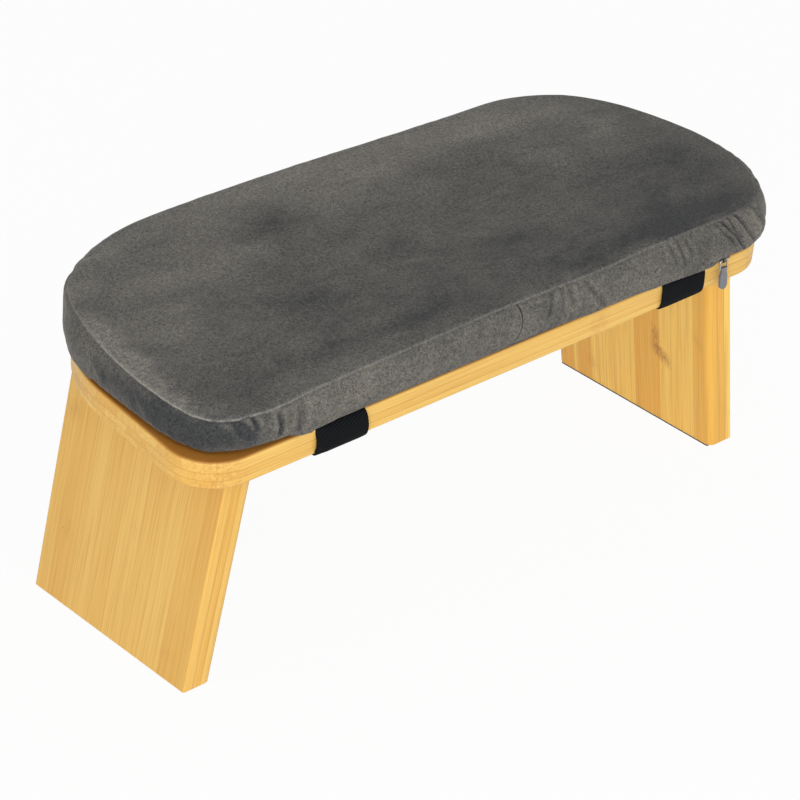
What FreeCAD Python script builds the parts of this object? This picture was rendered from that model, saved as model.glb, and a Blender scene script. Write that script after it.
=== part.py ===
import FreeCAD, Part
import math
import os
import Sketcher
from FreeCAD import Placement, Rotation, Vector

# Folding meditation bench: a seat board on two folding panel legs, with a strapped-on cushion.
# Millimetres and degrees. +X runs along the seat to the right, -Y is the low front edge,
# and +Z is up. The origin is on the floor, under the middle of the whole bench.

doc = FreeCAD.newDocument("folding_meditation_bench")

# Driving dimensions, each set once.
DRIVING = {
    # seat board
    "board_length": 460.0,
    "board_depth": 200.0,
    "board_thickness": 19.0,
    "board_front_radius": 32.0,
    "board_back_radius": 100.0,
    "board_edge_radius": 2.0,
    "seat_height": 160.3,
    "seat_tilt": 7.0,
    # panel legs
    "leg_top_reach": 202.4,
    "leg_splay": 10.6,
    "leg_thickness": 20.0,
    "leg_width": 157.0,
    "leg_forward": 11.0,
    "leg_inner_round": 5.0,
    "leg_outer_round": 1.5,
    "leg_top_gap": 0.2,
    "pad_thickness": 1.2,
    "pad_outer_inset": 2.2,
    "pad_end_inset": 3.0,
    # butt hinges
    "hinge_length": 38.0,
    "hinge_spacing": 92.0,
    "leaf_width": 14.0,
    "leaf_thickness": 1.5,
    "leaf_corner": 2.0,
    "knuckle_radius": 2.4,
    "knuckle_gap": 0.3,
    "hinge_standoff": 0.3,
    "pin_radius": 1.3,
    "pin_clearance": 0.05,
    "pin_head_radius": 2.1,
    "pin_head_height": 0.8,
    # wood screws in the leaves
    "screw_spacing": 22.0,
    "screw_reach": 9.5,
    "screw_length": 12.0,
    "screw_radius": 1.2,
    "screw_head_radius": 2.6,
    "screw_head_height": 1.3,
    "screw_clearance": 0.05,
    "recess_span": 2.8,
    "recess_width": 0.7,
    "recess_depth": 0.7,
    # magnets that hold the folded legs
    "magnet_radius": 6.0,
    "magnet_height": 4.5,
    "magnet_reach": 80.0,
    "magnet_back": 30.0,
    "magnet_clearance": 0.2,
    # elastic straps
    "strap_width": 37.0,
    "strap_thickness": 1.3,
    "strap_gap": 0.2,
    "strap_tuck": 30.0,
    "left_strap_gap": 17.57,
    "right_strap_gap": 1.27,
    # cushion and its cover
    "cushion_end_overhang": 8.0,
    "cushion_overhang": 5.4,
    "cushion_thickness": 24.5,
    "cushion_front_radius": 36.0,
    "cushion_back_radius": 108.0,
    "cushion_shift": 7.0,
    "cushion_back_shift": 2.5,
    "cover_thickness": 1.2,
    "foam_round": 3.0,
    "soft_gap": 0.3,
    # zip along the front of the cushion
    "zip_margin": 25.0,
    "zip_left_margin": 40.0,
    "zip_tape_width": 10.0,
    "zip_tape_thickness": 0.6,
    "zip_coil_radius": 1.0,
    "zip_clearance": 0.2,
    "zip_stop_length": 2.0,
    "slider_length": 9.0,
    "slider_wall": 0.8,
    "lug_width": 1.6,
    "lug_radius": 1.7,
    "lug_bore": 0.9,
    # pull that hangs from the slider
    "wire_radius": 0.6,
    "ring_width": 7.4,
    "ring_height": 7.6,
    "tab_length": 14.0,
    "tab_width": 6.2,
    "tab_neck_width": 3.0,
    "tab_thickness": 1.8,
    "crimp_width": 4.4,
    "crimp_height": 2.8,
}

# The knuckles of one hinge, shared in turn by its seat leaf and its leg leaf.
KNUCKLES = 5
SEAT_KNUCKLES = range(0, KNUCKLES, 2)
LEG_KNUCKLES = range(1, KNUCKLES, 2)

# Places and sizes that follow from the driving dimensions.
DERIVED = {
    "pin_drop": "sizes.knuckle_radius + sizes.hinge_standoff",
    "leg_inner_reach": "sizes.leg_top_reach - sizes.leg_thickness / cos(sizes.leg_splay)",
    "pin_reach": "leg_inner_reach + pin_drop * (tan(sizes.leg_splay) - 1 / cos(sizes.leg_splay))",
    "pin_up": "(sizes.leg_top_reach - pin_reach) * sin(sizes.leg_splay)"
              " - pin_drop * cos(sizes.leg_splay)",
    "leg_drop": "sizes.seat_height + sizes.leg_width * sin(sizes.seat_tilt)",
    "leg_blank": "leg_drop / cos(sizes.leg_splay) + sizes.leg_thickness",
    "leg_back": "sizes.leg_width / 2 - sizes.leg_forward",
    "foot_drop": "(sizes.seat_height + leg_back * sin(sizes.seat_tilt)) / cos(sizes.seat_tilt)",
    "foot_reach": "sizes.leg_top_reach + foot_drop * tan(sizes.leg_splay)",
    "strap_grow": "sizes.strap_gap + sizes.strap_thickness",
    "base_z": "sizes.board_thickness + strap_grow + sizes.soft_gap",
    "top_z": "base_z + sizes.cushion_thickness",
    "cushion_length": "sizes.board_length + 2 * sizes.cushion_end_overhang",
    "cushion_depth": "sizes.board_depth + 2 * sizes.cushion_overhang",
    "bench_x": "(foot_reach - cushion_length / 2 - sizes.cushion_shift) / 2",
    "bench_y": "(base_z + top_z) / 2 * sin(sizes.seat_tilt)"
               " - sizes.cushion_back_shift * cos(sizes.seat_tilt)",
    "magnet_pocket": "sizes.magnet_height - pin_drop + sizes.magnet_clearance",
    "pilot_depth": "sizes.screw_length - sizes.leaf_thickness + sizes.hinge_standoff",
    "pilot_radius": "sizes.screw_radius + sizes.screw_clearance",
    "knuckle_pitch": "sizes.hinge_length / %d" % KNUCKLES,
    "zip_right": "sizes.cushion_shift + cushion_length / 2 - sizes.cushion_front_radius"
                 " - sizes.zip_margin",
    "zip_length": "cushion_length - 2 * sizes.cushion_front_radius - sizes.zip_margin"
                  " - sizes.zip_left_margin",
    "zip_left": "zip_right - zip_length",
    "zip_depth": "sizes.cover_thickness + sizes.zip_clearance / 2 + sizes.zip_tape_thickness / 2",
    "zip_y": "zip_depth - cushion_depth / 2 + sizes.cushion_back_shift",
    "zip_z": "base_z + sizes.cover_thickness + sizes.zip_clearance / 2"
             " + sizes.zip_tape_thickness / 2",
    "slider_bore": "sizes.zip_coil_radius + sizes.zip_clearance",
    "slider_half": "slider_bore + sizes.slider_wall",
    "slider_x": "zip_right - sizes.zip_stop_length - sizes.zip_clearance"
                " - sizes.slider_length / 2",
    "notch_top": "zip_z + slider_half + sizes.soft_gap",
    "foam_base_z": "zip_z + sizes.zip_tape_thickness / 2 + sizes.soft_gap",
    "foam_inset": "zip_depth + sizes.zip_tape_thickness / 2 + sizes.soft_gap",
    "lug_y": "zip_y - slider_half - sizes.lug_bore - sizes.soft_gap",
    "lug_z": "zip_z - sizes.lug_bore",
}

sizes = doc.addObject("Spreadsheet::Sheet", "sizes")
for row, (name, number) in enumerate(DRIVING.items(), start=1):
    sizes.set("A%d" % row, name)
    sizes.set("B%d" % row, str(number))
    sizes.setAlias("B%d" % row, name)

places = doc.addObject("Spreadsheet::Sheet", "places")
for row, (name, formula) in enumerate(DERIVED.items(), start=1):
    places.set("A%d" % row, name)
    places.setAlias("B%d" % row, name)
    places.set("B%d" % row, "=" + formula)
doc.recompute()

# The two outlines seen from above: the board's and the cushion's.
BOARD = {
    "length": "sizes.board_length",
    "depth": "sizes.board_depth",
    "front": "sizes.board_front_radius",
    "back": "sizes.board_back_radius",
}
CUSHION = {
    "length": "places.cushion_length",
    "depth": "places.cushion_depth",
    "front": "sizes.cushion_front_radius",
    "back": "sizes.cushion_back_radius",
}

# The side of the bench: its sign along X.
SIDES = {"left": -1, "right": 1}
# Which end of a leg a hinge is on: its sign along Y.
ENDS = {"front": -1, "rear": 1}

nodes = []


def size(name):
    return float(sizes.get(name))


def place(name):
    return float(places.get(name))


def bind(item, **expressions):
    for prop, expression in expressions.items():
        item.setExpression(prop, expression)


def keep(item, label):
    """Marks an object as one finished piece of the bench."""
    item.Label = label
    nodes.append(item)
    return item


# The seat frame: its origin is the middle of the board's underside, +Y to the high back edge.
SEAT = Placement(
    Vector(place("bench_x"), place("bench_y"), size("seat_height")),
    Rotation(Vector(1, 0, 0), size("seat_tilt")),
)


def on_seat(x=0.0, y=0.0, z=0.0, turn=Rotation()):
    return SEAT.multiply(Placement(Vector(x, y, z), turn))


def on_cushion(z):
    """The middle of the cushion's outline, which is set off from the board's."""
    return on_seat(size("cushion_shift"), size("cushion_back_shift"), z)


def leg_frame(side):
    """Local X across the leg, Y up the leg, Z from its outer face to its inner face."""
    lean = Rotation(Vector(0, 1, 0), -side * size("leg_splay"))
    stand = Rotation(Vector(0, -side, 0), Vector(0, 0, 1), Vector(-side, 0, 0), "ZXY")
    origin = Placement(Vector(side * size("leg_top_reach"), -size("leg_forward"), 0), lean)
    return SEAT.multiply(origin).multiply(Placement(Vector(), stand))


def origin_plane(body, role):
    return next(f for f in body.Origin.OriginFeatures if f.Role == role)


def new_sketch(body, role, name):
    sketch = body.newObject("Sketcher::SketchObject", name)
    sketch.AttachmentSupport = [(origin_plane(body, role), "")]
    sketch.MapMode = "FlatFace"
    return sketch


def polygon_sketch(body, role, name, points):
    """A closed sketch of straight edges, held point by point: points is [(x, y), ...],
    each a pair of expressions."""
    sketch = new_sketch(body, role, name)
    corners = [Vector(number(x), number(y), 0) for x, y in points]
    count = len(corners)
    for i in range(count):
        edge = Part.LineSegment(corners[i], corners[(i + 1) % count])
        sketch.addGeometry(edge, False)
    for i in range(count):
        sketch.addConstraint(Sketcher.Constraint("Coincident", i, 2, (i + 1) % count, 1))
    for i, (x, y) in enumerate(points):
        hold_point(sketch, i, 1, x, y)
    return sketch


def number(expression):
    """The value that an expression has now, for drawing a sketch near its solution."""
    return float(sizes.evalExpression(expression))


def hold_point(sketch, geometry, vertex, x, y):
    """Places one sketch point from the sketch's origin by two expressions."""
    for kind, expression in (("DistanceX", x), ("DistanceY", y)):
        value = number(expression)
        constraint = Sketcher.Constraint(kind, -1, 1, geometry, vertex, value)
        index = sketch.addConstraint(constraint)
        sketch.setExpression("Constraints[%d]" % index, expression)


def circles_sketch(body, name, centres, radius, height="0"):
    """Equal circles on a plane parallel to the body's XY plane."""
    sketch = new_sketch(body, "XY_Plane", name)
    bind(sketch, **{"AttachmentOffset.Base.z": height})
    for i, (x, y) in enumerate(centres):
        centre = Vector(number(x), number(y), 0)
        sketch.addGeometry(Part.Circle(centre, Vector(0, 0, 1), number(radius)), False)
        hold_point(sketch, i, 3, x, y)
        index = sketch.addConstraint(Sketcher.Constraint("Radius", i, number(radius)))
        sketch.setExpression("Constraints[%d]" % index, radius)
    return sketch


def pad(body, sketch, length, midplane=False):
    feature = body.newObject("PartDesign::Pad", sketch.Name + "_pad")
    feature.Profile = sketch
    feature.Midplane = midplane
    bind(feature, Length=length)
    doc.recompute()
    return feature


def pocket(body, sketch, depth, reverse=False):
    """Cuts into the body, and makes sure that the cut took something away."""
    before = body.Shape.Volume
    feature = body.newObject("PartDesign::Pocket", sketch.Name + "_pocket")
    feature.Profile = sketch
    feature.Reversed = reverse
    bind(feature, Length=depth)
    doc.recompute()
    if body.Shape.Volume >= before:
        raise RuntimeError(feature.Name + " cuts nothing")
    return feature


def round_edges(body, base, picked, radius):
    names = ["Edge%d" % (i + 1) for i, edge in enumerate(base.Shape.Edges) if picked(edge)]
    feature = body.newObject("PartDesign::Fillet", base.Name + "_round")
    feature.Base = (base, names)
    bind(feature, Radius=radius)
    doc.recompute()
    return feature


def at_height(z):
    """Picks the edges that lie whole in one level of their body."""
    def picked(edge):
        box = edge.BoundBox
        return abs(box.ZMin - z) < 0.01 and abs(box.ZMax - z) < 0.01
    return picked


def outline_sketch(body, name, shape, grow="0"):
    """The seat's outline: straight front and ends, small front corners, large back corners.
    grow moves the whole outline outwards."""
    length = "%s + 2 * (%s)" % (shape["length"], grow)
    depth = "%s + 2 * (%s)" % (shape["depth"], grow)
    front = "%s + %s" % (shape["front"], grow)
    back = "%s + %s" % (shape["back"], grow)
    a = number(length) / 2
    b = number(depth) / 2
    rf = number(front)
    rb = number(back)

    def arc(x, y, r, start):
        circle = Part.Circle(Vector(x, y, 0), Vector(0, 0, 1), r)
        return Part.ArcOfCircle(circle, math.radians(start), math.radians(start + 90))

    def line(x1, y1, x2, y2):
        return Part.LineSegment(Vector(x1, y1, 0), Vector(x2, y2, 0))

    sketch = new_sketch(body, "XY_Plane", name)
    loop = [
        line(rf - a, -b, a - rf, -b), arc(a - rf, rf - b, rf, 270),
        line(a, rf - b, a, b - rb), arc(a - rb, b - rb, rb, 0),
        line(a - rb, b, rb - a, b), arc(rb - a, b - rb, rb, 90),
        line(-a, b - rb, -a, rf - b), arc(rf - a, rf - b, rf, 180),
    ]
    sketch.addGeometry(loop, False)
    count = len(loop)
    for i in range(count):
        sketch.addConstraint(Sketcher.Constraint("Tangent", i, 2, (i + 1) % count, 1))
    for i, kind in ((0, "Horizontal"), (2, "Vertical"), (4, "Horizontal"), (6, "Vertical")):
        sketch.addConstraint(Sketcher.Constraint(kind, i))
    sketch.addConstraint(Sketcher.Constraint("Equal", 1, 7))
    sketch.addConstraint(Sketcher.Constraint("Equal", 3, 5))
    held = [
        (Sketcher.Constraint("Radius", 1, rf), front),
        (Sketcher.Constraint("Radius", 3, rb), back),
        (Sketcher.Constraint("DistanceX", 6, 1, -1, 1, a), "(%s) / 2" % length),
        (Sketcher.Constraint("DistanceX", -1, 1, 2, 1, a), "(%s) / 2" % length),
        (Sketcher.Constraint("DistanceY", 0, 1, -1, 1, b), "(%s) / 2" % depth),
        (Sketcher.Constraint("DistanceY", -1, 1, 4, 1, b), "(%s) / 2" % depth),
    ]
    for constraint, expression in held:
        index = sketch.addConstraint(constraint)
        sketch.setExpression("Constraints[%d]" % index, expression)
    return sketch


def slab(name, shape, height, grow="0", edge_round=None):
    """A plate with the seat's outline, lying on its own XY plane."""
    body = doc.addObject("PartDesign::Body", name)
    sketch = outline_sketch(body, name + "_outline", shape, grow)
    base = pad(body, sketch, height)
    if edge_round:
        top = number(height)
        for level in (0.0, top):
            base = round_edges(body, base, at_height(level), edge_round)
    return body


def box(name, placement, **expressions):
    block = doc.addObject("Part::Box", name)
    bind(block, **expressions)
    block.Placement = placement
    return block


def cylinder(name, placement, radius, height):
    rod = doc.addObject("Part::Cylinder", name)
    bind(rod, Radius=radius, Height=height)
    rod.Placement = placement
    return rod


def cut(name, base, tool):
    result = doc.addObject("Part::Cut", name)
    result.Base = base
    result.Tool = tool
    doc.recompute()
    return result


def common(name, base, tool):
    result = doc.addObject("Part::Common", name)
    result.Base = base
    result.Tool = tool
    doc.recompute()
    return result


def fuse(name, shapes):
    result = doc.addObject("Part::MultiFuse", name)
    result.Shapes = shapes
    result.Refine = True
    doc.recompute()
    return result


# ---- seat board ----

def hinge_y(end):
    """The middle of a hinge along the seat's depth."""
    return "-sizes.leg_forward + (%d) * sizes.hinge_spacing / 2" % end


def seat_screw_centres():
    row = "(places.pin_reach - sizes.screw_reach)"
    centres = []
    for side in SIDES.values():
        for end in ENDS.values():
            for step in (-1, 1):
                y = "%s + (%d) * sizes.screw_spacing / 2" % (hinge_y(end), step)
                centres.append(("(%d) * %s" % (side, row), y))
    return centres


def make_seat_board():
    body = slab("board_body", BOARD, "sizes.board_thickness",
                edge_round="sizes.board_edge_radius")
    pilots = circles_sketch(body, "board_pilots", seat_screw_centres(), "places.pilot_radius")
    pocket(body, pilots, "places.pilot_depth", reverse=True)
    seats = []
    for side in SIDES.values():
        x = "(%d) * (places.pin_reach - sizes.magnet_reach)" % side
        seats.append((x, "sizes.magnet_back - sizes.leg_forward"))
    radius = "sizes.magnet_radius + sizes.screw_clearance"
    pockets = circles_sketch(body, "board_magnet_seats", seats, radius)
    pocket(body, pockets, "places.magnet_pocket", reverse=True)
    body.Placement = on_seat()
    keep(body, "seat_board")


# ---- legs ----

def leg_screw_centres():
    row = "places.pin_up - sizes.screw_reach"
    centres = []
    for end in ENDS.values():
        for step in (-1, 1):
            x = "(%d) * sizes.hinge_spacing / 2 + (%d) * sizes.screw_spacing / 2" % (end, step)
            centres.append((x, row))
    return centres


def leg_blank(name, side):
    """The panel before its foot is cut level: its top end is already cut to the splay."""
    body = doc.addObject("PartDesign::Body", name + "_leg_body")
    drop = "-sizes.leg_top_gap / cos(sizes.leg_splay)"
    rise = "sizes.leg_thickness * tan(sizes.leg_splay) - sizes.leg_top_gap / cos(sizes.leg_splay)"
    foot = "-places.leg_blank"
    thick = "sizes.leg_thickness"
    section = polygon_sketch(body, "YZ_Plane", name + "_leg_section",
                             [(foot, "0"), (drop, "0"), (rise, thick), (foot, thick)])
    base = pad(body, section, "sizes.leg_width", midplane=True)

    def long_edge(z):
        def picked(edge):
            box_ = edge.BoundBox
            return abs(box_.ZMin - z) < 0.01 and abs(box_.ZMax - z) < 0.01 and box_.XLength < 0.01
        return picked

    base = round_edges(body, base, long_edge(size("leg_thickness")), "sizes.leg_inner_round")
    round_edges(body, base, long_edge(0.0), "sizes.leg_outer_round")
    pilots = circles_sketch(body, name + "_leg_pilots", leg_screw_centres(),
                            "places.pilot_radius", thick)
    pocket(body, pilots, "places.pilot_depth")
    seat = [("(%d) * sizes.magnet_back" % -side, "places.pin_up - sizes.magnet_reach")]
    magnet = circles_sketch(body, name + "_leg_magnet_seat", seat,
                            "sizes.magnet_radius + sizes.screw_clearance", thick)
    pocket(body, magnet, "places.magnet_pocket")
    body.Placement = leg_frame(side)
    return body


def level_block(name, low, height):
    """A level block, wider than the bench, from the height low upwards."""
    reach = place("foot_reach") * 2
    block = box(name, Placement(Vector(-reach, -reach, low), Rotation()), Height=height,
                Length="4 * places.foot_reach", Width="4 * places.foot_reach")
    return block


def make_leg(name, side):
    blank = leg_blank(name, side)
    depth = place("leg_blank")
    below = level_block(name + "_floor_cut", size("pad_thickness") - depth, "places.leg_blank")
    keep(cut(name + "_leg", blank, below), name + "_leg_panel")
    layer = level_block(name + "_pad_layer", 0.0, "sizes.pad_thickness")
    sole = common(name + "_pad_sole", blank, layer)
    # The pad stops short of the leg's outer face and of its front and back edges.
    corner = Placement(Vector(size("pad_end_inset") - size("leg_width") / 2, -depth,
                              size("pad_outer_inset")), Rotation())
    limits = box(name + "_pad_limits", leg_frame(side).multiply(corner),
                 Length="sizes.leg_width - 2 * sizes.pad_end_inset", Width="places.leg_blank",
                 Height="sizes.leg_thickness")
    keep(common(name + "_pad", sole, limits), name + "_foot_pad")


# ---- hinges ----

# Leaf frame: X along the pin, Y along the leaf away from the pin, Z out of the wood.


def seat_leaf_frame(side, end):
    y = number(hinge_y(end))
    turn = Rotation(Vector(0, -side, 0), Vector(-side, 0, 0), Vector(0, 0, -1), "ZXY")
    return on_seat(side * place("pin_reach"), y, -place("pin_drop"), turn)


def leg_leaf_frame(side, end):
    # The leg's own X runs the other way along the bench's depth on the right-hand side.
    x = -side * end * size("hinge_spacing") / 2
    z = size("leg_thickness") + place("pin_drop")
    turn = Rotation(Vector(-1, 0, 0), Vector(0, -1, 0), Vector(0, 0, 1), "ZXY")
    return leg_frame(side).multiply(Placement(Vector(x, place("pin_up"), z), turn))


def screw_spot(frame, step):
    """Where a screw's head comes flush with the leaf, its axis along the leaf's Z."""
    top = size("leaf_thickness") - place("pin_drop")
    spot = Vector(step * size("screw_spacing") / 2, size("screw_reach"), top)
    return frame.multiply(Placement(spot, Rotation()))


ALONG_X = Rotation(Vector(0, 1, 0), 90)


def make_leaf(label, frame, knuckles):
    half = size("hinge_length") / 2
    low = -place("pin_drop")
    plate = box(label + "_plate", Placement(Vector(-half, place("pin_drop"), low), Rotation()),
                Length="sizes.hinge_length", Width="sizes.leaf_width - places.pin_drop",
                Height="sizes.leaf_thickness")
    rounded = doc.addObject("Part::Fillet", label + "_rounded")
    rounded.Base = plate
    doc.recompute()
    corners = []
    for i, edge in enumerate(plate.Shape.Edges):
        upright = edge.BoundBox.ZLength > edge.BoundBox.XLength + edge.BoundBox.YLength
        if upright and edge.BoundBox.YMin > place("pin_drop") + 1:
            corners.append((i + 1, size("leaf_corner"), size("leaf_corner")))
    rounded.Edges = corners
    pieces = [rounded]
    for k in knuckles:
        start = -half + k * place("knuckle_pitch") + size("knuckle_gap") / 2
        pieces.append(box("%s_tab_%d" % (label, k), Placement(Vector(start, 0, low), Rotation()),
                          Length="places.knuckle_pitch - sizes.knuckle_gap",
                          Width="places.pin_drop + sizes.leaf_thickness",
                          Height="sizes.leaf_thickness"))
        pieces.append(cylinder("%s_knuckle_%d" % (label, k),
                               Placement(Vector(start, 0, 0), ALONG_X), "sizes.knuckle_radius",
                               "places.knuckle_pitch - sizes.knuckle_gap"))
    solid = fuse(label + "_solid", pieces)
    bores = [cylinder(label + "_bore", Placement(Vector(-2 * half, 0, 0), ALONG_X),
                      "sizes.pin_radius + sizes.pin_clearance", "2 * sizes.hinge_length")]
    for step in (-1, 1):
        bores.append(screw_hole("%s_hole_%d" % (label, step + 1), screw_spot(Placement(), step)))
    leaf = cut(label, solid, fuse(label + "_bores", bores))
    leaf.Placement = frame
    keep(leaf, label)


def screw_hole(name, spot):
    """The countersunk hole through a leaf."""
    reach = Placement(Vector(0, 0, -2 * size("leaf_thickness")), Rotation())
    through = cylinder(name + "_through", spot.multiply(reach),
                       "sizes.screw_radius + 2 * sizes.screw_clearance",
                       "4 * sizes.leaf_thickness")
    sink = doc.addObject("Part::Cone", name + "_sink")
    bind(sink, Radius1="sizes.screw_radius + 2 * sizes.screw_clearance",
         Radius2="sizes.screw_head_radius + 2 * sizes.screw_clearance",
         Height="sizes.screw_head_height")
    sink.Placement = spot.multiply(Placement(Vector(0, 0, -size("screw_head_height")),
                                             Rotation()))
    return fuse(name, [through, sink])


def make_pin(label, frame):
    """The pin runs through all knuckles and has a low head at each end."""
    half = size("hinge_length") / 2
    pieces = [cylinder(label + "_rod", Placement(Vector(-half, 0, 0), ALONG_X),
                       "sizes.pin_radius", "sizes.hinge_length")]
    for name, x in (("near", -half - size("pin_head_height")), ("far", half)):
        pieces.append(cylinder("%s_%s_head" % (label, name), Placement(Vector(x, 0, 0), ALONG_X),
                               "sizes.pin_head_radius", "sizes.pin_head_height"))
    pin = fuse(label, pieces)
    pin.Placement = frame
    keep(pin, label)


def make_hinges():
    for side_name, side in SIDES.items():
        for end_name, end in ENDS.items():
            hinge = "%s_%s_hinge" % (side_name, end_name)
            make_leaf(hinge + "_seat_leaf", seat_leaf_frame(side, end), SEAT_KNUCKLES)
            make_leaf(hinge + "_leg_leaf", leg_leaf_frame(side, end), LEG_KNUCKLES)
            make_pin(hinge + "_pin", seat_leaf_frame(side, end))


# ---- wood screws ----

def make_screw():
    """One countersunk screw, its head's top at the origin and its point along -Z."""
    head = doc.addObject("Part::Cone", "screw_head")
    bind(head, Radius1="sizes.screw_radius", Radius2="sizes.screw_head_radius",
         Height="sizes.screw_head_height")
    head.Placement = Placement(Vector(0, 0, -size("screw_head_height")), Rotation())
    taper = 2 * size("screw_radius")
    shank = cylinder("screw_shank", Placement(Vector(0, 0, taper - size("screw_length")),
                                              Rotation()),
                     "sizes.screw_radius", "sizes.screw_length - 2 * sizes.screw_radius"
                                           " - sizes.screw_head_height")
    point = doc.addObject("Part::Cone", "screw_point")
    bind(point, Radius1="sizes.screw_radius / 6", Radius2="sizes.screw_radius",
         Height="2 * sizes.screw_radius")
    point.Placement = Placement(Vector(0, 0, -size("screw_length")), Rotation())
    body = fuse("screw_body", [head, shank, point])
    bars = []
    for i, turn in enumerate((Rotation(), Rotation(Vector(0, 0, 1), 90))):
        corner = Vector(-size("recess_span") / 2, -size("recess_width") / 2,
                        -size("recess_depth"))
        bars.append(box("screw_recess_%d" % i, Placement(Vector(), turn).multiply(
            Placement(corner, Rotation())), Length="sizes.recess_span",
            Width="sizes.recess_width", Height="2 * sizes.recess_depth"))
    return cut("screw", body, fuse("screw_recess", bars))


def make_screws():
    """The screws of one leg's hinges are two groups: in the seat and in the leg."""
    screw = make_screw()
    for side_name, side in SIDES.items():
        for label, frame in (("seat_leaf_screws", seat_leaf_frame),
                             ("leg_leaf_screws", leg_leaf_frame)):
            copies = []
            for end in ENDS.values():
                for step in (-1, 1):
                    copy = screw.Shape.copy()
                    copy.Placement = screw_spot(frame(side, end), step)
                    copies.append(copy)
            group = doc.addObject("Part::Feature", side_name + "_" + label)
            group.Shape = Part.makeCompound(copies)
            keep(group, side_name + "_" + label)


# ---- magnets ----

def make_magnets():
    """A pair for each leg: they come face to face when the leg is folded."""
    down = Rotation(Vector(1, 0, 0), 180)
    inside = place("magnet_pocket")
    for side_name, side in SIDES.items():
        x = side * (place("pin_reach") - size("magnet_reach"))
        y = size("magnet_back") - size("leg_forward")
        seat = cylinder(side_name + "_seat_magnet", on_seat(x, y, inside, down),
                        "sizes.magnet_radius", "sizes.magnet_height")
        keep(seat, side_name + "_seat_magnet")
        spot = Vector(-side * size("magnet_back"), place("pin_up") - size("magnet_reach"),
                      size("leg_thickness") - inside)
        leg = cylinder(side_name + "_leg_magnet",
                       leg_frame(side).multiply(Placement(spot, Rotation())),
                       "sizes.magnet_radius", "sizes.magnet_height")
        keep(leg, side_name + "_leg_magnet")


# ---- straps ----

def make_straps():
    """Each strap hugs the board: its two ends are tucked in under the cushion."""
    outer = slab("strap_outer", BOARD, "sizes.board_thickness + 2 * places.strap_grow",
                 "places.strap_grow", "sizes.board_edge_radius + places.strap_grow")
    outer.Placement = on_seat(z=-place("strap_grow"))
    inner = slab("strap_inner", BOARD, "sizes.board_thickness + 2 * sizes.strap_gap",
                 "sizes.strap_gap", "sizes.board_edge_radius + sizes.strap_gap")
    inner.Placement = on_seat(z=-size("strap_gap"))
    shell = cut("strap_shell", outer, inner)
    beside_leaf = place("pin_reach") - size("leaf_width")
    depth = size("board_depth")
    for side_name, side in SIDES.items():
        centre = side * (beside_leaf - size(side_name + "_strap_gap") - size("strap_width") / 2)
        left = centre - size("strap_width") / 2
        strip = box(side_name + "_strap_strip", on_seat(left, -depth, -depth),
                    Length="sizes.strap_width", Width="2 * sizes.board_depth",
                    Height="2 * sizes.board_depth")
        band = common(side_name + "_strap_band", shell, strip)
        middle = box(side_name + "_strap_middle",
                     on_seat(left, size("strap_tuck") - depth / 2, size("board_thickness")),
                     Length="sizes.strap_width",
                     Width="sizes.board_depth - 2 * sizes.strap_tuck",
                     Height="2 * places.strap_grow")
        keep(cut(side_name + "_strap", band, middle), side_name + "_cushion_strap")


# ---- cushion ----

def zip_notch(name):
    """The room for the zip along the cushion's lower front edge."""
    left = place("zip_left") - size("soft_gap")
    corner = on_seat(left, -place("cushion_depth"), place("base_z") - place("strap_grow"))
    return box(name, corner, Length="places.zip_length + 2 * sizes.soft_gap",
               Width="places.zip_y + places.slider_half + sizes.soft_gap + places.cushion_depth",
               Height="places.notch_top - places.base_z + places.strap_grow")


def make_cover():
    base = slab("cover_base", CUSHION, "sizes.cover_thickness")
    base.Placement = on_cushion(place("base_z"))
    keep(cut("cover_base_cut", base, zip_notch("base_notch")), "cover_base_panel")

    top = slab("cover_top", CUSHION, "sizes.cover_thickness")
    round_edges(top, top.Tip, at_height(size("cover_thickness")), "sizes.cover_thickness * 0.8")
    top.Placement = on_cushion(place("top_z") - size("cover_thickness"))
    keep(top, "cover_top_panel")

    # The side band is two strips, joined at the middle of the front and of the back.
    height = "sizes.cushion_thickness - 2 * sizes.cover_thickness"
    ring = slab("cover_ring", CUSHION, height)
    inside = outline_sketch(ring, "cover_ring_inside", CUSHION, "-sizes.cover_thickness")
    pocket(ring, inside, height, reverse=True)
    ring.Placement = on_cushion(place("base_z") + size("cover_thickness"))
    wall = cut("cover_wall", ring, zip_notch("band_notch"))
    length = place("cushion_length")
    depth = place("cushion_depth")
    for side_name, side in SIDES.items():
        left = size("cushion_shift") + min(0, side) * length
        half = box(side_name + "_band_half", on_seat(left, -depth, 0),
                   Length="places.cushion_length", Width="2 * places.cushion_depth",
                   Height="2 * places.top_z")
        keep(common(side_name + "_band", wall, half), "cover_band_" + side_name)


def make_foam():
    height = "places.top_z - sizes.cover_thickness - sizes.soft_gap - places.foam_base_z"
    foam = slab("foam_body", CUSHION, height, "-places.foam_inset", "sizes.foam_round")
    foam.Placement = on_cushion(place("foam_base_z"))
    keep(foam, "cushion_foam")


# ---- zip ----

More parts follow.
